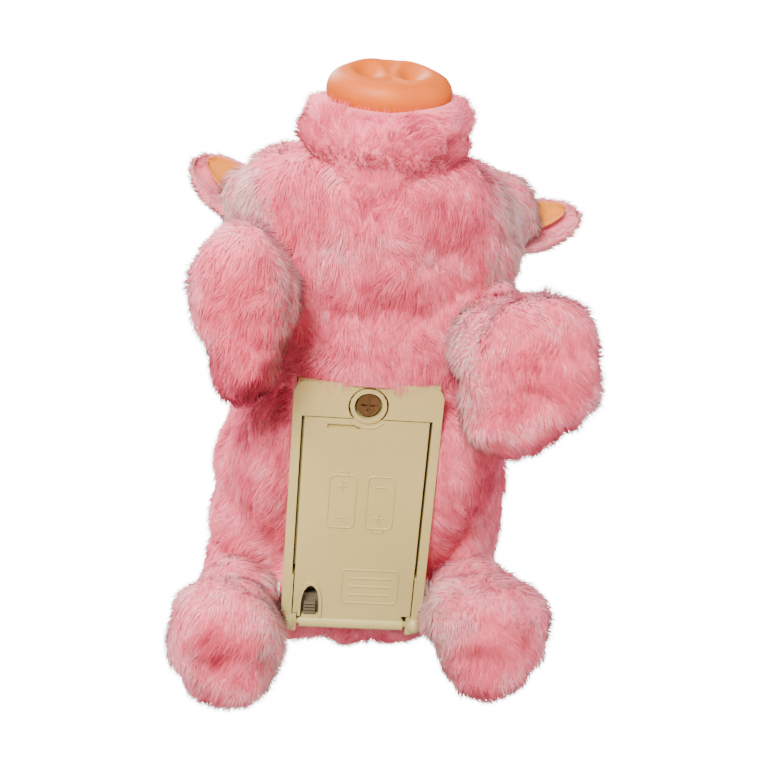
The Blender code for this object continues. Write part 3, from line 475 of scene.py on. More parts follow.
def pile(name, skin, seed, nap, keep=None, length=PILE_LENGTH, lean=1.16, crease_and_shade=None, grey_shade=None, painted_light_and_shade=None,
         density=1.0, floor=False):
    """Tapered fibres over a skin, combed by nap(points), gathered in tufts and toned in streaks.

    crease(points) is 1 where the pile is pressed shorter in a seam and painted darker there as shade,
    ash(points) is
    1 where it is painted greyer as shade, and bloom(points) is above 0 where painted highlights make it paler
    and below
    0 where painted shade makes it a deeper rose.
    """
    rng = np.random.default_rng(seed)
    keep = keep or (lambda points, facing: np.ones(len(points), bool))
    roots, facing = scatter(skin.data, PILE_DENSITY * density, rng, keep)
    count = len(roots)
    swirl = np.stack([waves(roots, SWIRL_WIDTH, seed + k) for k in range(3)], axis=1)
    ripple = np.stack([waves(roots, RIPPLE_WIDTH, seed + 10 + k) for k in range(3)], axis=1)
    heading = unit(nap(roots)) + 0.42 * swirl + 0.20 * ripple + 0.16 * rng.normal(size=(count, 3))
    heading = unit(heading - facing * (heading * facing).sum(1)[:, None])
    crush_and_shade = crease_and_shade(roots) if crease_and_shade else np.zeros(count)
    reach = length * (0.90 + 0.12 * waves(roots, 9 * MM, seed + 20) + 0.14 * rng.normal(size=count))
    reach = np.clip(reach, SHORTEST * length, LONGEST * length) * (1 - 0.45 * crush_and_shade)
    tilt = lean + 0.10 * waves(roots, 12 * MM, seed + 21) + 0.12 * rng.normal(size=count)
    tilt = np.clip(tilt, STEEPEST, FLATTEST)
    tips = roots + (facing * np.cos(tilt)[:, None] + heading * np.sin(tilt)[:, None]) * reach[:, None]
    leader = tuft_centres(roots, rng)
    tips = tips + (tips[leader] - tips) * rng.uniform(*TUFT_PULL, count)[:, None]

    along = unit(tips - roots)
    across = unit(np.cross(facing, along))
    over = unit(np.cross(along, across))
    half = PILE_WIDTH * rng.uniform(*STRAND_GIRTH, count)[:, None]
    sunk = roots - facing * STRAND_SINK
    # three edges round the root, and one tip
    edges = [across * math.cos(turn) + over * math.sin(turn) for turn in np.radians((90, 210, 330))]
    strands = np.stack([sunk + edge * half for edge in edges] + [tips], axis=1)
    if floor:
        strands[:, :, 2] = np.maximum(strands[:, :, 2], FLOOR_CLEARANCE)

    streak = 0.42 * waves(roots, FINE_STREAK, seed + 30) + 0.55 * waves(roots, BROAD_STREAK, seed + 31)
    # the pressed places in seams and hollows are painted darker here, as shade
    streak = streak[leader] * 0.75 + streak * 0.25 + 0.24 * rng.normal(size=count) - 1.6 * crush_and_shade
    # painted highlights and painted shade from each piece's own table
    if painted_light_and_shade:
        streak = streak + painted_light_and_shade(roots)
    # streak 0 is the middle tone
    tone = np.clip(np.round(2.15 + 1.25 * streak), 0, PINK_TONES - 1)
    # the greyer tones are painted shade
    if grey_shade:
        greyed = grey_shade(roots) + 0.22 * rng.normal(size=count) > 0.5
        tone[greyed] = PINK_TONES + np.clip(np.round(1.1 + 0.8 * streak[greyed]), 0, SHADE_GREY_TONES - 1)

    mesh = bpy.data.meshes.new(name)
    mesh.vertices.add(count * 4)
    mesh.vertices.foreach_set("co", strands.astype(np.float32).ravel())
    corner = np.array([0, 1, 3, 1, 2, 3, 2, 0, 3])
    mesh.loops.add(count * 9)
    mesh.loops.foreach_set("vertex_index", (np.arange(count)[:, None] * 4 + corner).astype(np.int32).ravel())
    mesh.polygons.add(count * 3)
    mesh.polygons.foreach_set("loop_start", (np.arange(count * 3) * 3).astype(np.int32))
    mesh.polygons.foreach_set("material_index", np.repeat(tone, 3).astype(np.int32))
    mesh.update(calc_edges=True)
    for tone_name in PILE_TONES:
        mesh.materials.append(bpy.data.materials[tone_name])
    mesh.shade_smooth()
    # fibres take most of their shading from the skin, as a dense pile does
    shading = np.stack([unit(facing + 0.45 * edge) for edge in edges] + [unit(facing + 0.25 * over)], axis=1)
    mesh.normals_split_custom_set_from_vertices(shading.reshape(-1, 3).astype(np.float32))
    return link(name, mesh)


def comb(direction):
    """A nap that lies one way."""
    return lambda points: np.tile(np.array(direction, float), (len(points), 1))


# ---- body ------------------------------------------------------------------------------------------------
BODY_LUMPS = (
    ((1.5, 42, 61), (48.5, 47, 38), 0),
    ((0, 2, 61), (42, 44, 38.2), 0),
    ((2.0, -37, 65), (45.5, 32, 36), 0),
    ((14, 76, 45), (21, 20.5, 17), 0),
    ((-14, 76, 45), (21, 20.5, 17), 0),
    ((0, -50, 50), (34, 22, 23), 12),
    ((0, -57, 45.5), (33, 17.5, 16.5), 0),
    ((0, -36, 46), (31, 24, 18), 0),
    ((26, -47, 60), (17, 19, 21), 0),
    ((-26, -48, 60), (17, 19, 21), 0),
    ((40.5, -46, 79), (14, 14.5, 11), 0),
    ((-41, -42, 83), (9, 12, 9), 0),
    ((31, 56, 56), (19, 26, 24), 0),
    ((-30, 58, 56), (17.5, 24, 24), 0),
    ((0, 65.5, 66), (35, 24.5, 28), 0),
    ((0, 76, 45), (22, 20.5, 17), 0),
    ((0, 10, 68), (37, 62, 34.5), 0),
    ((0, -46, 76), (36, 25, 22), 0),
    ((30, 24, 44), (14.5, 34, 21.5), 0),
    ((-27, 26, 44), (13.5, 32, 21.5), 0),
    ((26, -18, 50), (17, 18, 20), 0),
    ((-26, -18, 50), (17, 18, 20), 0),
)

# where the body's pile is painted darker as shade (below 0), in the creases beside the legs and the plate and
# under the chin's bulge, and painted paler as highlights (above 0)
BODY_SHADE_AND_HIGHLIGHT = (
    (-0.9, (4, -57, 28), (17, 6, 9)), (0.7, (-2, -68, 30), (14, 4, 8)), (0.9, (-14, -42, 27), (11, 9, 9)),
    (0.5, (10, -36, 27), (13, 8, 9)), (-0.6, (0, -20, 27), (26, 5, 9)), (0.8, (0, -9, 26), (20, 4, 7)),
    (-1.1, (-31, 2, 30), (12, 18, 16)), (-1.3, (42, 26, 42), (12, 18, 20)), (-0.5, (-40, 30, 44), (12, 20, 18)),
    (0.9, (-42, 42, 42), (9, 12, 14)), (0.9, (40, 50, 40), (8, 12, 12)), (-0.9, (-26, -36, 32), (3, 16, 8)),
    (-0.8, (30, 62, 32), (8, 8, 9)),
)


def belly_nap(points):
    """Lies back along the body, down its sides, and off the plate's sides."""
    heading = comb((0.0, 1.0, -0.35))(points)
    beside = np.exp(-((np.abs(points[:, 0]) - PLATE_HALF_WIDTH) / (8 * MM)) ** 2)
    beside *= (points[:, 1] > PLATE_FRONT) & (points[:, 2] < 40 * MM)
    heading[:, 0] += np.sign(points[:, 0]) * 1.6 * beside
    return heading


def build_body():
    """Stuffed head and barrel, opened for the belly plate, with pile in two pieces."""
    skin = stuffed("body_skin", BODY_LUMPS, 1.9, 9)
    places, normals = corners(skin.data)
    wrinkle = 0.5 * waves(places, 26 * MM, 3) + 0.25 * waves(places, 9 * MM, 4)
    depth = wrinkle * 0.9 * MM - seam_depth(places, 5 * MM) * 2.6 * MM
    move_corners(skin.data, places + normals * depth[:, None])

    bm = bmesh.new()
    bmesh.ops.create_cube(bm, size=1.0)
    low = Vector((-OPENING_HALF_WIDTH, PLATE_FRONT + 0.4 * MM, -5 * MM))
    high = Vector((OPENING_HALF_WIDTH, PLATE_REAR - 0.6 * MM, 70 * MM))
    bmesh.ops.transform(bm, matrix=Matrix.Translation((low + high) / 2) @ Matrix.Diagonal((*(high - low), 1)),
                        verts=bm.verts)
    opening = part("opening", bm)
    cut = skin.modifiers.new("cut", "BOOLEAN")
    cut.operation = "DIFFERENCE"
    cut.object = opening
    settle(skin)
    bpy.data.objects.remove(opening)
    skin.data.shade_smooth()
    skin.data.set_sharp_from_angle(angle=math.radians(60))
    skin.data.materials.append(bpy.data.materials["backing_rose"])
    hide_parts("body_plush")
    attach(skin, ROOT)

    def outside(points):
        """Not on the opening's walls, by the screw's boss or round the tail's root."""
        x, y, z = points.T
        in_bay = (np.abs(x) < 22.5 * MM) & (y > PLATE_FRONT + 0.3 * MM) & (y < PLATE_REAR - 0.3 * MM)
        in_bay &= (z < 71 * MM) & (z > 20 * MM)
        by_boss = (np.abs(x) < SCREW_BOSS_RADIUS) & (np.abs(y - PLATE_FRONT) < 2.2 * MM) & (z < 30 * MM)
        by_tail = (np.hypot(x, z - TAIL_ROOT_HEIGHT) < 6.0 * MM) & (y > 80 * MM)
        return ~in_bay & ~by_boss & ~by_tail

    def front(points, facing):
        return outside(points) & (points[:, 1] < 0)

    def rear(points, facing):
        return outside(points) & (points[:, 1] >= 0)

    def flank_shade(points):
        """1 on the sides of the head, beyond the chin panel's seams, where the pile is painted greyer as shade.
        """
        beside = np.clip((np.abs(points[:, 0]) - 30 * MM) / (8 * MM), 0, 1)
        ahead = np.clip((-24 * MM - points[:, 1]) / (14 * MM), 0, 1)
        return beside * ahead * (0.75 + 0.25 * waves(points, 14 * MM, 77))

    def fold_crush_and_shade(points):
        """1 in the seams and in the hollow behind the muzzle's collar, where the pile is pressed shorter and
        painted darker as shade.
        """
        return np.maximum(seam_depth(points), 0.8 * patch(points, (0, -70, 45), (60, 3.5, 24)))

    for name, keep, seed in (("head_pile", front, 100), ("barrel_pile", rear, 200)):
        fur = pile(name, skin, seed, belly_nap, keep=keep, crease_and_shade=fold_crush_and_shade, grey_shade=flank_shade,
                   painted_light_and_shade=lambda points: patches(points, BODY_SHADE_AND_HIGHLIGHT))
        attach(fur, ROOT)


def about_snout(obj):
    """Tilt a shape made square to Y into the snout's own direction."""
    turn = Matrix.Rotation(SNOUT_TILT, 4, "X")
    obj.data.transform(Matrix.Translation(SNOUT_CENTRE) @ turn @ Matrix.Translation(-SNOUT_CENTRE))


def oval_loft(name, stations, half_width, half_height, sides, wobble=None):
    """A closed oval body along Y: stations are (millimetres behind the snout's middle, scale)."""
    bm = bmesh.new()
    rings = []
    for behind, scale in stations:
        ring = []
        for k in range(sides):
            angle = 2 * math.pi * k / sides
            swell = scale * (wobble(angle, behind) if wobble else 1.0)
            ring.append(bm.verts.new((SNOUT_CENTRE.x + half_width * swell * math.cos(angle),
                                      SNOUT_CENTRE.y + behind * MM,
                                      SNOUT_CENTRE.z + half_height * swell * math.sin(angle))))
        rings.append(ring)
    return lofted(name, bm, rings)


COLLAR_HALF_WIDTH, COLLAR_HALF_HEIGHT = 22.0 * MM, 18.0 * MM
# the collar's fold: millimetres behind the snout's middle, and how far it slants either way
FOLD_BEHIND, FOLD_SLANT = 12.5, 2.2
# the hollow that the snout slides in, in millimetres
MOUTH_HALF_WIDTH, MOUTH_HALF_HEIGHT, MOUTH_DEPTH = 19.4, 16.0, 9.0
# where the muzzle's pile is painted darker as shade (below 0), along the underside of the collar, and paler as
# painted highlights (above 0)
MUZZLE_SHADE_AND_HIGHLIGHT = (
    (-0.6, (0, -78, 26), (22, 4, 6)), (0.9, (20, -80, 32), (7, 5, 7)), (0.6, (-24, -80, 42), (6, 7, 12)),
)


def build_muzzle():
    """Bunched collar of plush with a slanting fold behind the snout."""
    profile = ((4.4, 0.60), (4.0, 0.85), (4.7, 0.96), (6.5, 1.05), (9.5, 1.12), (13.0, 1.15), (16.5, 1.11),
               (19.0, 1.04), (21.0, 0.99), (24.0, 0.99), (31.0, 0.90))

    def gathers(angle, behind):
        fold = math.exp(-((behind - FOLD_BEHIND - FOLD_SLANT * math.sin(angle + 0.5)) / 1.5) ** 2)
        return (1 + 0.022 * math.sin(9 * angle + behind * 0.35) + 0.02 * math.sin(5 * angle - 0.6 * behind)
                - 0.05 * fold * (0.5 + 0.5 * math.sin(2 * angle + 2.0)))

    skin = oval_loft("muzzle_skin", profile, COLLAR_HALF_WIDTH, COLLAR_HALF_HEIGHT, 96, gathers)
    # the collar creeps further over the snout's left side
    places, _ = corners(skin.data)
    ahead = np.clip(1 - (places[:, 1] - SNOUT_CENTRE.y) / (20 * MM), 0, 1)
    leftward = np.clip(places[:, 0] / (20 * MM), 0, 1)
    places[:, 1] -= 3.2 * MM * ahead * leftward
    move_corners(skin.data, places)
    about_snout(skin)
    skin.data.shade_smooth()
    skin.data.materials.append(bpy.data.materials["backing_rose"])
    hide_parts("muzzle_plush")
    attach(skin, ROOT)
    centre = np.array(SNOUT_CENTRE)

    def outward(points):
        spread = unit((points - centre) * np.array([1.0, 0.0, 1.0]))
        return np.array([0.0, -0.5, 0.0]) + 0.6 * spread

    def gathered(points):
        """1 in the fold round the collar and where it meets the head, where the pile is pressed shorter and
        painted darker as shade.
        """
        behind = (points[:, 1] - SNOUT_CENTRE.y) / MM
        angle = np.arctan2(points[:, 2] - SNOUT_CENTRE.z, points[:, 0])
        fold = np.exp(-((behind - FOLD_BEHIND - FOLD_SLANT * np.sin(angle + 0.5)) / 1.3) ** 2)
        fold *= 0.5 + 0.5 * np.sin(2 * angle + 2)
        return np.clip(0.9 * fold + np.exp(-((behind - 20.5) / 2.5) ** 2), 0, 1)

    def round_the_mouth(points, normals):
        """Everywhere but in the hollow that the snout slides in."""
        x, y, z = ((points - centre) / MM).T
        return (np.hypot(x / MOUTH_HALF_WIDTH, z / MOUTH_HALF_HEIGHT) > 1) | (y > MOUTH_DEPTH)

    # besides its patches, the muzzle's pile is drawn a little darker all over
    fur = pile("muzzle_pile", skin, 300, outward, keep=round_the_mouth, length=4.2 * MM, lean=1.12,
               crease_and_shade=gathered, painted_light_and_shade=lambda points: patches(points, MUZZLE_SHADE_AND_HIGHLIGHT) - 0.4)
    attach(fur, ROOT)


# nostrils, in millimetres: place beside the middle and above it, half width, half height and depth
NOSTRIL_ASIDE, NOSTRIL_RISE, NOSTRIL_WIDE, NOSTRIL_HIGH, NOSTRIL_DEEP = 6.6, 1.5, 3.2, 4.6, 2.0


def build_snout():
    """Rounded vinyl coin with a hollow face, two nostrils and a soft rim."""
    profile = ((5.6, 0.87), (5.0, 0.93), (3.4, 0.98), (1.4, 1.0), (-0.6, 0.99), (-2.2, 0.965), (-3.5, 0.93),
               (-4.5, 0.885), (-5.2, 0.83), (-5.5, 0.77), (-5.5, 0.70), (-5.2, 0.62), (-4.8, 0.54), (-4.4, 0.45),
               (-4.1, 0.35), (-3.9, 0.24), (-3.8, 0.13), (-3.8, 0.04))
    disc = oval_loft("snout_coin", profile, SNOUT_HALF_WIDTH, SNOUT_HALF_HEIGHT, 72)
    places, _ = corners(disc.data)
    face = places[:, 1] < SNOUT_CENTRE.y - 3.6 * MM
    for side in (-1, 1):
        off = (places - np.array(SNOUT_CENTRE)) / MM - np.array([side * NOSTRIL_ASIDE, 0, NOSTRIL_RISE])
        reach = np.hypot(off[:, 0] / NOSTRIL_WIDE, off[:, 2] / NOSTRIL_HIGH)
        pit = np.exp(-reach**2 * 1.1) * face
        rim = np.exp(-((reach - 1.5) / 0.5) ** 2) * face
        places[:, 1] += (pit * NOSTRIL_DEEP - rim * 0.7) * MM
    # narrower towards its top
    height = (places[:, 2] - SNOUT_CENTRE.z) / SNOUT_HALF_HEIGHT
    places[:, 0] *= 1 - 0.30 * np.clip(height, 0, 1) ** 1.5
    # the face looks a little downwards
    ahead = np.clip((SNOUT_CENTRE.y + 1.4 * MM - places[:, 1]) / (6.9 * MM), 0, 1)
    places[:, 1] += ahead * (0.9 - 1.8 * height) * MM
    move_corners(disc.data, places)
    about_snout(disc)
    subdivide = disc.modifiers.new("subdivide", "SUBSURF")
    subdivide.levels = subdivide.render_levels = 1
    settle(disc)
    disc.data.shade_smooth()
    disc.data.materials.append(snout_vinyl())
    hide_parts("snout_disc")
    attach(disc, "snout")


# ---- legs ------------------------------------------------------------------------------------------------
def build_leg(name, hip_y, foot, radii, seed):
    """Stuffed leg about its armature, with a flat sole and a fold where it bends.

    foot is the middle of the sole and radii its half breadth and half length, in millimetres.
    """
    foot_x, foot_y = foot
    side = math.copysign(1.0, foot_x)
    broad, long = radii
    front = "front" in name
    # the left front foot narrows towards its rear, the others hardly at all
    taper, blunt = (0.30, 0.02) if foot_x > 45 else (0.06, 0.14)
    # how much paler the whole pile is drawn, more on the hind legs, and how much painted shade darkens the rear
    # of the sole, most on the right front foot, towards the plate
    glow, painted_rear_shade = (0.3 if front else 0.65), (3.2 if front and side < 0 else 0.5)
    mid_y = (hip_y + foot_y) / 2
    # hip, thigh, three lumps against the belly, then four for the foot
    lumps = (
        ((36.8 * side, hip_y, 47), (12.8, 13.0, 13.5), 0),
        (((36.0 * side + foot_x) / 2, mid_y, 31), (13.4, 14.5, 16), 0),
        ((34.0 * side, mid_y, 24), (11.0, 14.0 if front else 11.0, 14.5), 0),
        ((34.2 * side, mid_y, 35), (11.2, 13.0, 16.0), 0),
        ((34.2 * side, foot_y - (2.0 if front else 5.0), 18), (11.2 if front else 10.8, 12.5, 12.5), 0),
        ((foot_x - 0.4 * side, foot_y - 0.12 * long, 16), (broad - 0.8, 0.84 * long, 13.6), 0),
        ((foot_x + blunt * broad * side, foot_y - 0.40 * long, 12.5), (0.80 * broad, 0.58 * long, 11.5), 0),
        ((foot_x, foot_y - 0.12 * long, 10.2), (broad, 0.88 * long, 9.6), 0),
        ((foot_x - taper * broad * side, foot_y + 0.30 * long, 11.0), (0.84 * broad, 0.72 * long, 10.4), 0),
    )
    skin = stuffed(name + "_skin", lumps, 1.5, 8 if front else 14)
    places, normals = corners(skin.data)
    puckers = 0.65 * waves(places, 24 * MM, seed) + 0.3 * waves(places, 9 * MM, seed + 1)
    fold = np.exp(-((places[:, 2] - 24 * MM) / (2.6 * MM)) ** 2) * np.clip(-normals[:, 1] * 1.2, 0, 1)
    # a dimple and a slanting ridge across the sole, where the stuffing has sunk
    across = (places[:, 0] * side - abs(foot_x) * MM) / (broad * MM)
    along = (places[:, 1] - foot_y * MM) / (long * MM)
    under = np.clip(-normals[:, 2], 0, 1)
    dimple = np.exp(-((across + 0.1) / 0.42) ** 2 - ((along - 0.05) / 0.24) ** 2) * under
    ridge = np.exp(-((along - 0.42 + 0.30 * across) / 0.13) ** 2) * under
    fold *= 1.0 if front else 0.3
    shift = puckers * 1.1 * MM - fold * 1.4 * MM - (dimple * 1.7 - ridge * 0.9) * MM
    places = places + normals * shift[:, None]
    places[:, 2] = np.maximum(places[:, 2], 1.5 * MM)
    move_corners(skin.data, places)
    skin.data.materials.append(bpy.data.materials["backing_rose"])
    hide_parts(name + "_plush")
    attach(skin, name)

    def nap(points):
        """Down the leg, and backwards across the sole."""
        below = np.clip(1 - points[:, 2] / (12 * MM), 0, 1)[:, None]
        return comb((0.0, 0.25, -1.0))(points) * (1 - below) + comb((0.35 * side, 0.9, 0.0))(points) * below

    def across_sole(points):
        """Places on the sole: outwards and backwards, -1 to 1."""
        return (points[:, 0] * side / MM - abs(foot_x)) / broad, (points[:, 1] / MM - foot_y) / long

    def sole_hollow_crush_and_shade(points):
        """1 in the hollow of the sole, where the pile is pressed shorter and painted darker as shade."""
        x, y = across_sole(points)
        return 0.15 * (points[:, 2] < 12 * MM) * np.exp(-((x + 0.1) / 0.4) ** 2 - ((y - 0.05) / 0.25) ** 2)

    def painted_light_and_shade(points):
        """Painted highlight on the sole's slanting ridge, a pale rim, painted shade between them and towards the
        rear.
        """
        x, y = across_sole(points)
        ridge = np.exp(-((y - 0.42 + 0.30 * x) / 0.15) ** 2)
        rim = np.clip(np.hypot(x, y) - 0.75, 0, 0.4) * 2.0
        hollow = np.exp(-(x / 0.5) ** 2 - ((y + 0.15) / 0.3) ** 2)
        return 0.8 * ridge + rim - 0.3 * hollow + glow - painted_rear_shade * np.clip(y - 0.15, 0, 1)

    def inner_shade(points):
        """1 where the leg faces the belly, where painted shade greys the pile."""
        return 0.62 * np.clip((33 * MM - np.abs(points[:, 0])) / (6 * MM), 0, 1)

    fur = pile(name + "_pile", skin, seed, nap, length=4.1 * MM, crease_and_shade=sole_hollow_crush_and_shade, grey_shade=inner_shade, painted_light_and_shade=painted_light_and_shade,
               floor=True)
    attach(fur, name)


# ---- ears, eyes, tail ------------------------------------------------------------------------------------
def ear_frame(root, tip):
    """Root, outward direction, lining side, forward direction and length of an ear."""
    root, tip = Vector(root) * MM, Vector(tip) * MM
    reach = (tip - root).normalized()
    facing = (LINING_FACING - reach * LINING_FACING.dot(reach)).normalized()
    across = facing.cross(reach).normalized()
    if across.y > 0:
        across = -across
    return root, reach, facing, across, (tip - root).length


def ear_leaf(name, ear, width, end, lift, thick, cup, shift=0.0):
    """A cupped leaf with a blunt round tip, in the frame of an ear."""
    root, reach, facing, across, length = ear
    rows, columns = 20, 18
    bm = bmesh.new()
    rings = []
    for i in range(rows + 1):
        t = i / rows
        half = width / 2 * (1 - t**4) ** 0.5 * (0.9 + 0.18 * math.sin(math.pi * t)) + 0.25 * MM
        base = root + reach * (end * length * t) + across * shift
        ring = []
        for layer, order in ((0.5, range(columns + 1)), (-0.5, range(columns, -1, -1))):
            for j in order:
                s = 2 * j / columns - 1
                edge = math.sqrt(max(0.0, 1 - s**6))
                curl = cup * s * s * (1 - 0.3 * t) + 2.4 * MM * t * t
                ring.append(bm.verts.new(base + across * (half * s)
                                         + facing * (lift + curl + layer * thick * (0.25 + 0.75 * edge))))
        rings.append(ring)
    leaf = lofted(name, bm, rings)
    leaf.data.shade_smooth()
    return leaf


def build_ears():
    """Plush ears with a smooth peach lining let into the side that faces down and forward."""
    for name, side, root, tip, seed in EARS:
        ear = ear_frame(root, tip)
        skin = ear_leaf(name + "_skin", ear, 18.5 * MM, 0.95, 0, 4.8 * MM, 5.0 * MM)
        skin.data.materials.append(bpy.data.materials["backing_rose"])
        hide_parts(name)
        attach(skin, ROOT)
        lining = ear_leaf(name + "_felt", ear, 10.5 * MM, 0.83, 3.1 * MM, 1.3 * MM, 3.0 * MM, shift=2.4 * MM)
        lining.data.materials.append(bpy.data.materials["ear_lining_felt"])
        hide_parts(name + "_lining")
        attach(lining, ROOT)
        root, reach, facing, across, length = (np.array(value) for value in ear)

        def keep(points, normals):
            """Everywhere but over the lining."""
            outward = (points - root) @ reach / length
            sideways = (points - root) @ across / MM
            over_lining = (outward > 0.46) & (outward < 0.80) & (np.abs(sideways - 2.6) < 4.8)
            return ~(over_lining & ((normals @ facing) > 0.3))

        # about half of each ear's fibres take the greyer tones: painted shade over the whole ear
        fur = pile(name + "_pile", skin, seed, comb((side * 0.9, -0.1, -0.2)), keep=keep, length=3.2 * MM,
                   grey_shade=lambda points: np.full(len(points), 0.52), density=1.2)
        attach(fur, ROOT)


def build_eyes():
    """Polished domes set into the pile."""
    for name in ("left_eye", "right_eye"):
        low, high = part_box(name)
        centre = (low + high) / 2
        bm = bmesh.new()
        bmesh.ops.create_uvsphere(bm, u_segments=48, v_segments=28, radius=1.0)
        turn = Matrix.Rotation(math.copysign(0.45, centre.x), 4, "Z") @ Matrix.Rotation(-0.3, 4, "X")
        place = Matrix.Translation(centre + Vector((0, 0.3 * MM, 0)))
        bmesh.ops.transform(bm, matrix=place @ turn @ Matrix.Diagonal((*EYE_RADII, 1.0)), verts=bm.verts)
        dome = part(name + "_dome", bm)
        dome.data.shade_smooth()
        dome.data.materials.append(bpy.data.materials["eye_acrylic"])
        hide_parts(name)
        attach(dome, ROOT)


def build_tail():
    """Thin curled tail, sewn as a tube and covered with short pile."""
    steps = 40
    curve, spline = bevelled_curve("tail_curl", 1.0, 6, steps + 1)
    for i in range(steps + 1):
        t = i / steps
        angle = 2.2 * math.pi * t
        coil = 5.2 * (1 - 0.35 * t)
        out = min(1.0, 4 * t)
        place = Vector((7.0 * t - 1.0 + 1.2 * math.sin(math.pi * t),
                        87.4 + 5.4 * out + coil * (0.2 + 0.55 * math.sin(angle)) * out,
                        81.4 + coil * (1 - math.cos(angle)) * 0.9)) * MM
        spline.points[i].co = (*place, 1.0)
        spline.points[i].radius = (2.3 - 1.2 * t) * MM
    skin = tube("tail_skin", curve)
    skin.data.materials.append(bpy.data.materials["backing_rose"])
    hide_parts("tail_plush")
    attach(skin, "tail")
    fur = pile("tail_pile", skin, 900, comb((0.3, 0.4, 0.6)), length=2.4 * MM, lean=1.0, density=2.0,
               keep=lambda points, normals: points[:, 1] > 90.5 * MM)
    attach(fur, "tail")


# ---- marks on the battery door ---------------------------------------------------------------------------
def raised_line(name, points, closed):
    """A low moulded ridge along a line on the door's outer face."""
    half_width, height = 0.31 * MM, 0.30 * MM
    curve, spline = bevelled_curve(name, half_width, 3, len(points))
    spline.use_cyclic_u = closed
    for point, (x, y) in zip(spline.points, points):
        point.co = (x * MM, y * MM, DOOR_FACE, 1.0)
    ridge = tube(name, curve)
    places, _ = corners(ridge.data)
    places[:, 2] = DOOR_FACE + (places[:, 2] - DOOR_FACE) * height / half_width
    move_corners(ridge.data, places)
    ridge.data.materials.append(bpy.data.materials["cream_abs_moulded"])
    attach(ridge, "battery_door")


def rounded_box(x0, x1, y0, y1, radius):
    """Corners of a rounded rectangle, in millimetres."""
    steps = 5
    points = []
    for cx, cy, start in ((x1 - radius, y1 - radius, 0), (x0 + radius, y1 - radius, 90),
                          (x0 + radius, y0 + radius, 180), (x1 - radius, y0 + radius, 270)):
        for i in range(steps + 1):
            angle = math.radians(start + 90 * i / steps)
            points.append((cx + radius * math.cos(angle), cy + radius * math.sin(angle)))
    return points


def build_door_marks():
    """Generic raised marks: two cell outlines with polarity signs, a ribbed frame, an arc by the screw."""
    marks = []
    for x, nub, nub_y in ((-6.0, -1, 27.0), (6.0, 1, 45.0)):
        marks.append((rounded_box(x - 4.2, x + 4.2, 27.0, 45.0, 1.6), True))
        nub_top, plus_y, minus_y = nub_y + nub * 1.4, nub_y - nub * 3.6, nub_y - nub * 14.4
        marks.append((((x - 1.6, nub_y), (x - 1.6, nub_top), (x + 1.6, nub_top), (x + 1.6, nub_y)), False))
        marks.append((((x - 1.5, plus_y), (x + 1.5, plus_y)), False))
        marks.append((((x, plus_y - 1.5), (x, plus_y + 1.5)), False))
        marks.append((((x - 1.5, minus_y), (x + 1.5, minus_y)), False))
    marks.append((rounded_box(-4.0, 14.0, 60.0, 72.0, 1.5), True))
    marks += [(((-1.5, y), (11.5, y)), False) for y in (63.0, 66.0, 69.0)]
    arc = [(7.2 * math.cos(a), 3.6 + 7.2 * math.sin(a)) for a in
           (math.radians(30 + 120 * k / 14) for k in range(15))]
    marks.append(([(x, y) for x, y in arc if y > 8.7], False))
    for i, (points, closed) in enumerate(marks):
        raised_line(f"door_mark_{i + 1}", points, closed)


def build_well_rails():
    """Ledges of the battery well that the door's long edges rest against."""
    for name, side in (("left_well_rail", 1), ("right_well_rail", -1)):
        bm = bmesh.new()
        bmesh.ops.create_cube(bm, size=1.0)
        place = Matrix.Translation(Vector((side * 18.75, 34.2, 27.2)) * MM)
        size = Matrix.Diagonal((1.5 * MM, 52.0 * MM, 1.2 * MM, 1.0))
        bmesh.ops.transform(bm, matrix=place @ size, verts=bm.verts)
        bmesh.ops.bevel(bm, geom=bm.edges[:], offset=0.2 * MM, segments=2, affect="EDGES")
        rail = part(name, bm)
        rail.data.materials.append(bpy.data.materials["cream_abs_moulded"])
        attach(rail, ROOT)


# ---- floor, light, camera --------------------------------------------------------------------------------
# metres: the sweep stands round the floor
FLOOR_RADIUS = 2.9
SWEEP_RADIUS = 3.0
# name, place, aim, size, watts
LAMPS = (
    ("key_below", (-0.22, -0.50, -0.46), (0, 0, 0.03), 0.24, 14.5),
    ("fill_below", (0.5, 0.25, -0.45), (0, 0.02, 0.03), 0.6, 1.5),
    ("key_above", (-0.6, -0.7, 0.9), (0, 0, 0.05), 0.6, 32.0),
    ("fill_above", (0.8, 0.5, 0.8), (0, 0, 0.05), 0.8, 15.0),
)


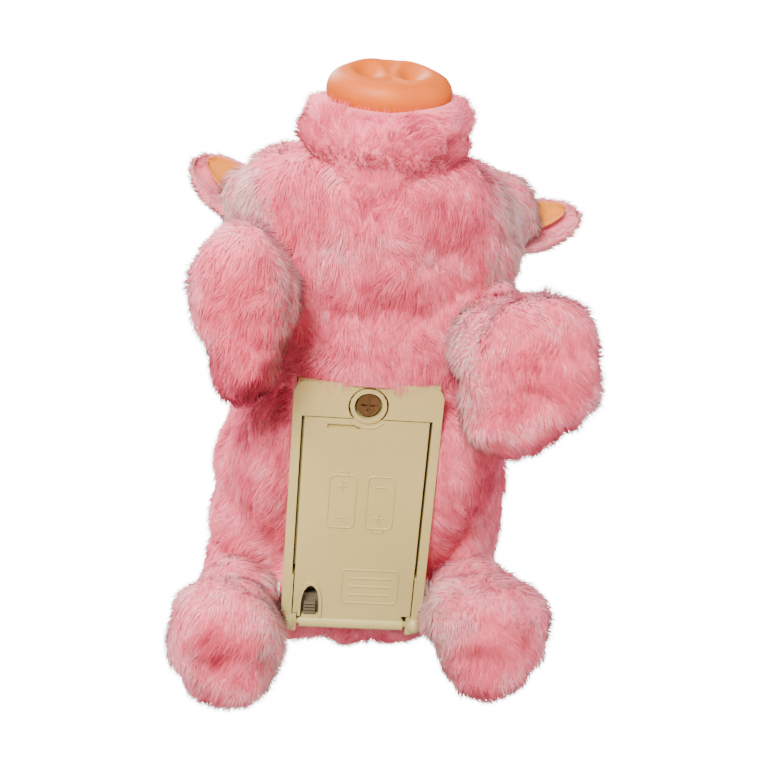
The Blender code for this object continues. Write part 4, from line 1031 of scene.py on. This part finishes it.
def build_stage():
    """Pale floor that shows only from above, so that the camera can look up at the belly."""
    bm = bmesh.new()
    bmesh.ops.create_circle(bm, cap_ends=True, segments=96, radius=FLOOR_RADIUS)
    floor = part("floor", bm)
    floor.location.z = -0.0002
    made, tree, shader = new_material("floor_paper")
    shader.inputs["Base Color"].default_value = (0.86, 0.86, 0.86, 1.0)
    shader.inputs["Roughness"].default_value = 0.9
    shader.inputs["Emission Color"].default_value = (0.30, 0.30, 0.30, 1.0)
    seen = tree.nodes.new("ShaderNodeLightPath")
    tree.links.new(seen.outputs["Is Camera Ray"], shader.inputs["Emission Strength"])
    clear = tree.nodes.new("ShaderNodeBsdfTransparent")
    geometry = tree.nodes.new("ShaderNodeNewGeometry")
    mix = tree.nodes.new("ShaderNodeMixShader")
    tree.links.new(geometry.outputs["Backfacing"], mix.inputs["Fac"])
    tree.links.new(shader.outputs["BSDF"], mix.inputs[1])
    tree.links.new(clear.outputs["BSDF"], mix.inputs[2])
    tree.links.new(mix.outputs["Shader"], tree.nodes["Material Output"].inputs["Surface"])
    floor.data.materials.append(made)
    floor.visible_shadow = False

    world = bpy.data.worlds.new("studio")
    world.use_nodes = True
    background = world.node_tree.nodes["Background"]
    background.inputs["Color"].default_value = (1.0, 1.0, 1.0, 1.0)
    background.inputs["Strength"].default_value = 0.46
    bpy.context.scene.world = world

    # a bright sweep all round, seen behind the piglet and casting nothing on it
    bm = bmesh.new()
    bmesh.ops.create_icosphere(bm, subdivisions=4, radius=SWEEP_RADIUS)
    sweep = part("sweep", bm)
    paper, _, glow = new_material("sweep_paper")
    glow.inputs["Base Color"].default_value = (0.0, 0.0, 0.0, 1.0)
    glow.inputs["Emission Color"].default_value = (1.0, 1.0, 1.0, 1.0)
    glow.inputs["Emission Strength"].default_value = 16.0
    sweep.data.materials.append(paper)
    for ray in ("visible_diffuse", "visible_glossy", "visible_transmission", "visible_volume_scatter",
                "visible_shadow"):
        setattr(sweep, ray, False)

    for name, place, aim, size, watts in LAMPS:
        light = bpy.data.lights.new(name, "AREA")
        light.size = size
        light.energy = watts
        lamp = bpy.data.objects.new(name, light)
        bpy.context.scene.collection.objects.link(lamp)
        lamp.location = place
        lamp.rotation_euler = (Vector(aim) - Vector(place)).to_track_quat("-Z", "Y").to_euler()


def build_camera():
    """Camera under the chest, looking up at the belly."""
    lean = Matrix.Rotation(CAMERA_SWAY, 3, "Y") @ Matrix.Rotation(-CAMERA_TILT, 3, "X")
    ahead = lean @ Vector((0, 0, 1))
    right, up = lean @ Vector((1, 0, 0)), lean @ Vector((0, -1, 0))
    rolled_right = math.cos(CAMERA_ROLL) * right + math.sin(CAMERA_ROLL) * up
    rolled_up = -math.sin(CAMERA_ROLL) * right + math.cos(CAMERA_ROLL) * up
    turn = Matrix((rolled_right, rolled_up, -ahead)).transposed()
    data = bpy.data.cameras.new("camera")
    data.lens = CAMERA_LENS
    data.clip_start = 0.01
    camera = bpy.data.objects.new("camera", data)
    bpy.context.scene.collection.objects.link(camera)
    camera.matrix_world = Matrix.Translation(CAMERA_AIM - CAMERA_DISTANCE * ahead) @ turn.to_4x4()
    bpy.context.scene.camera = camera


def main():
    """Build every piece, then the stage."""
    backing_cloth("backing_rose", (0.56, 0.085, 0.125), (0.78, 0.18, 0.23))
    lining_felt()
    eye_acrylic()
    for name, colour in PILE_TONES.items():
        pile_tone(name, colour)
    paint_cad_nodes()
    for name in ("belly_case", "battery_door", "switch_knob"):
        soften_edges(name, 0.10 * MM)
    build_body()
    build_muzzle()
    build_snout()
    for leg in LEGS:
        build_leg(*leg)
    build_ears()
    build_eyes()
    build_tail()
    build_door_marks()
    build_well_rails()
    build_stage()
    build_camera()


main()
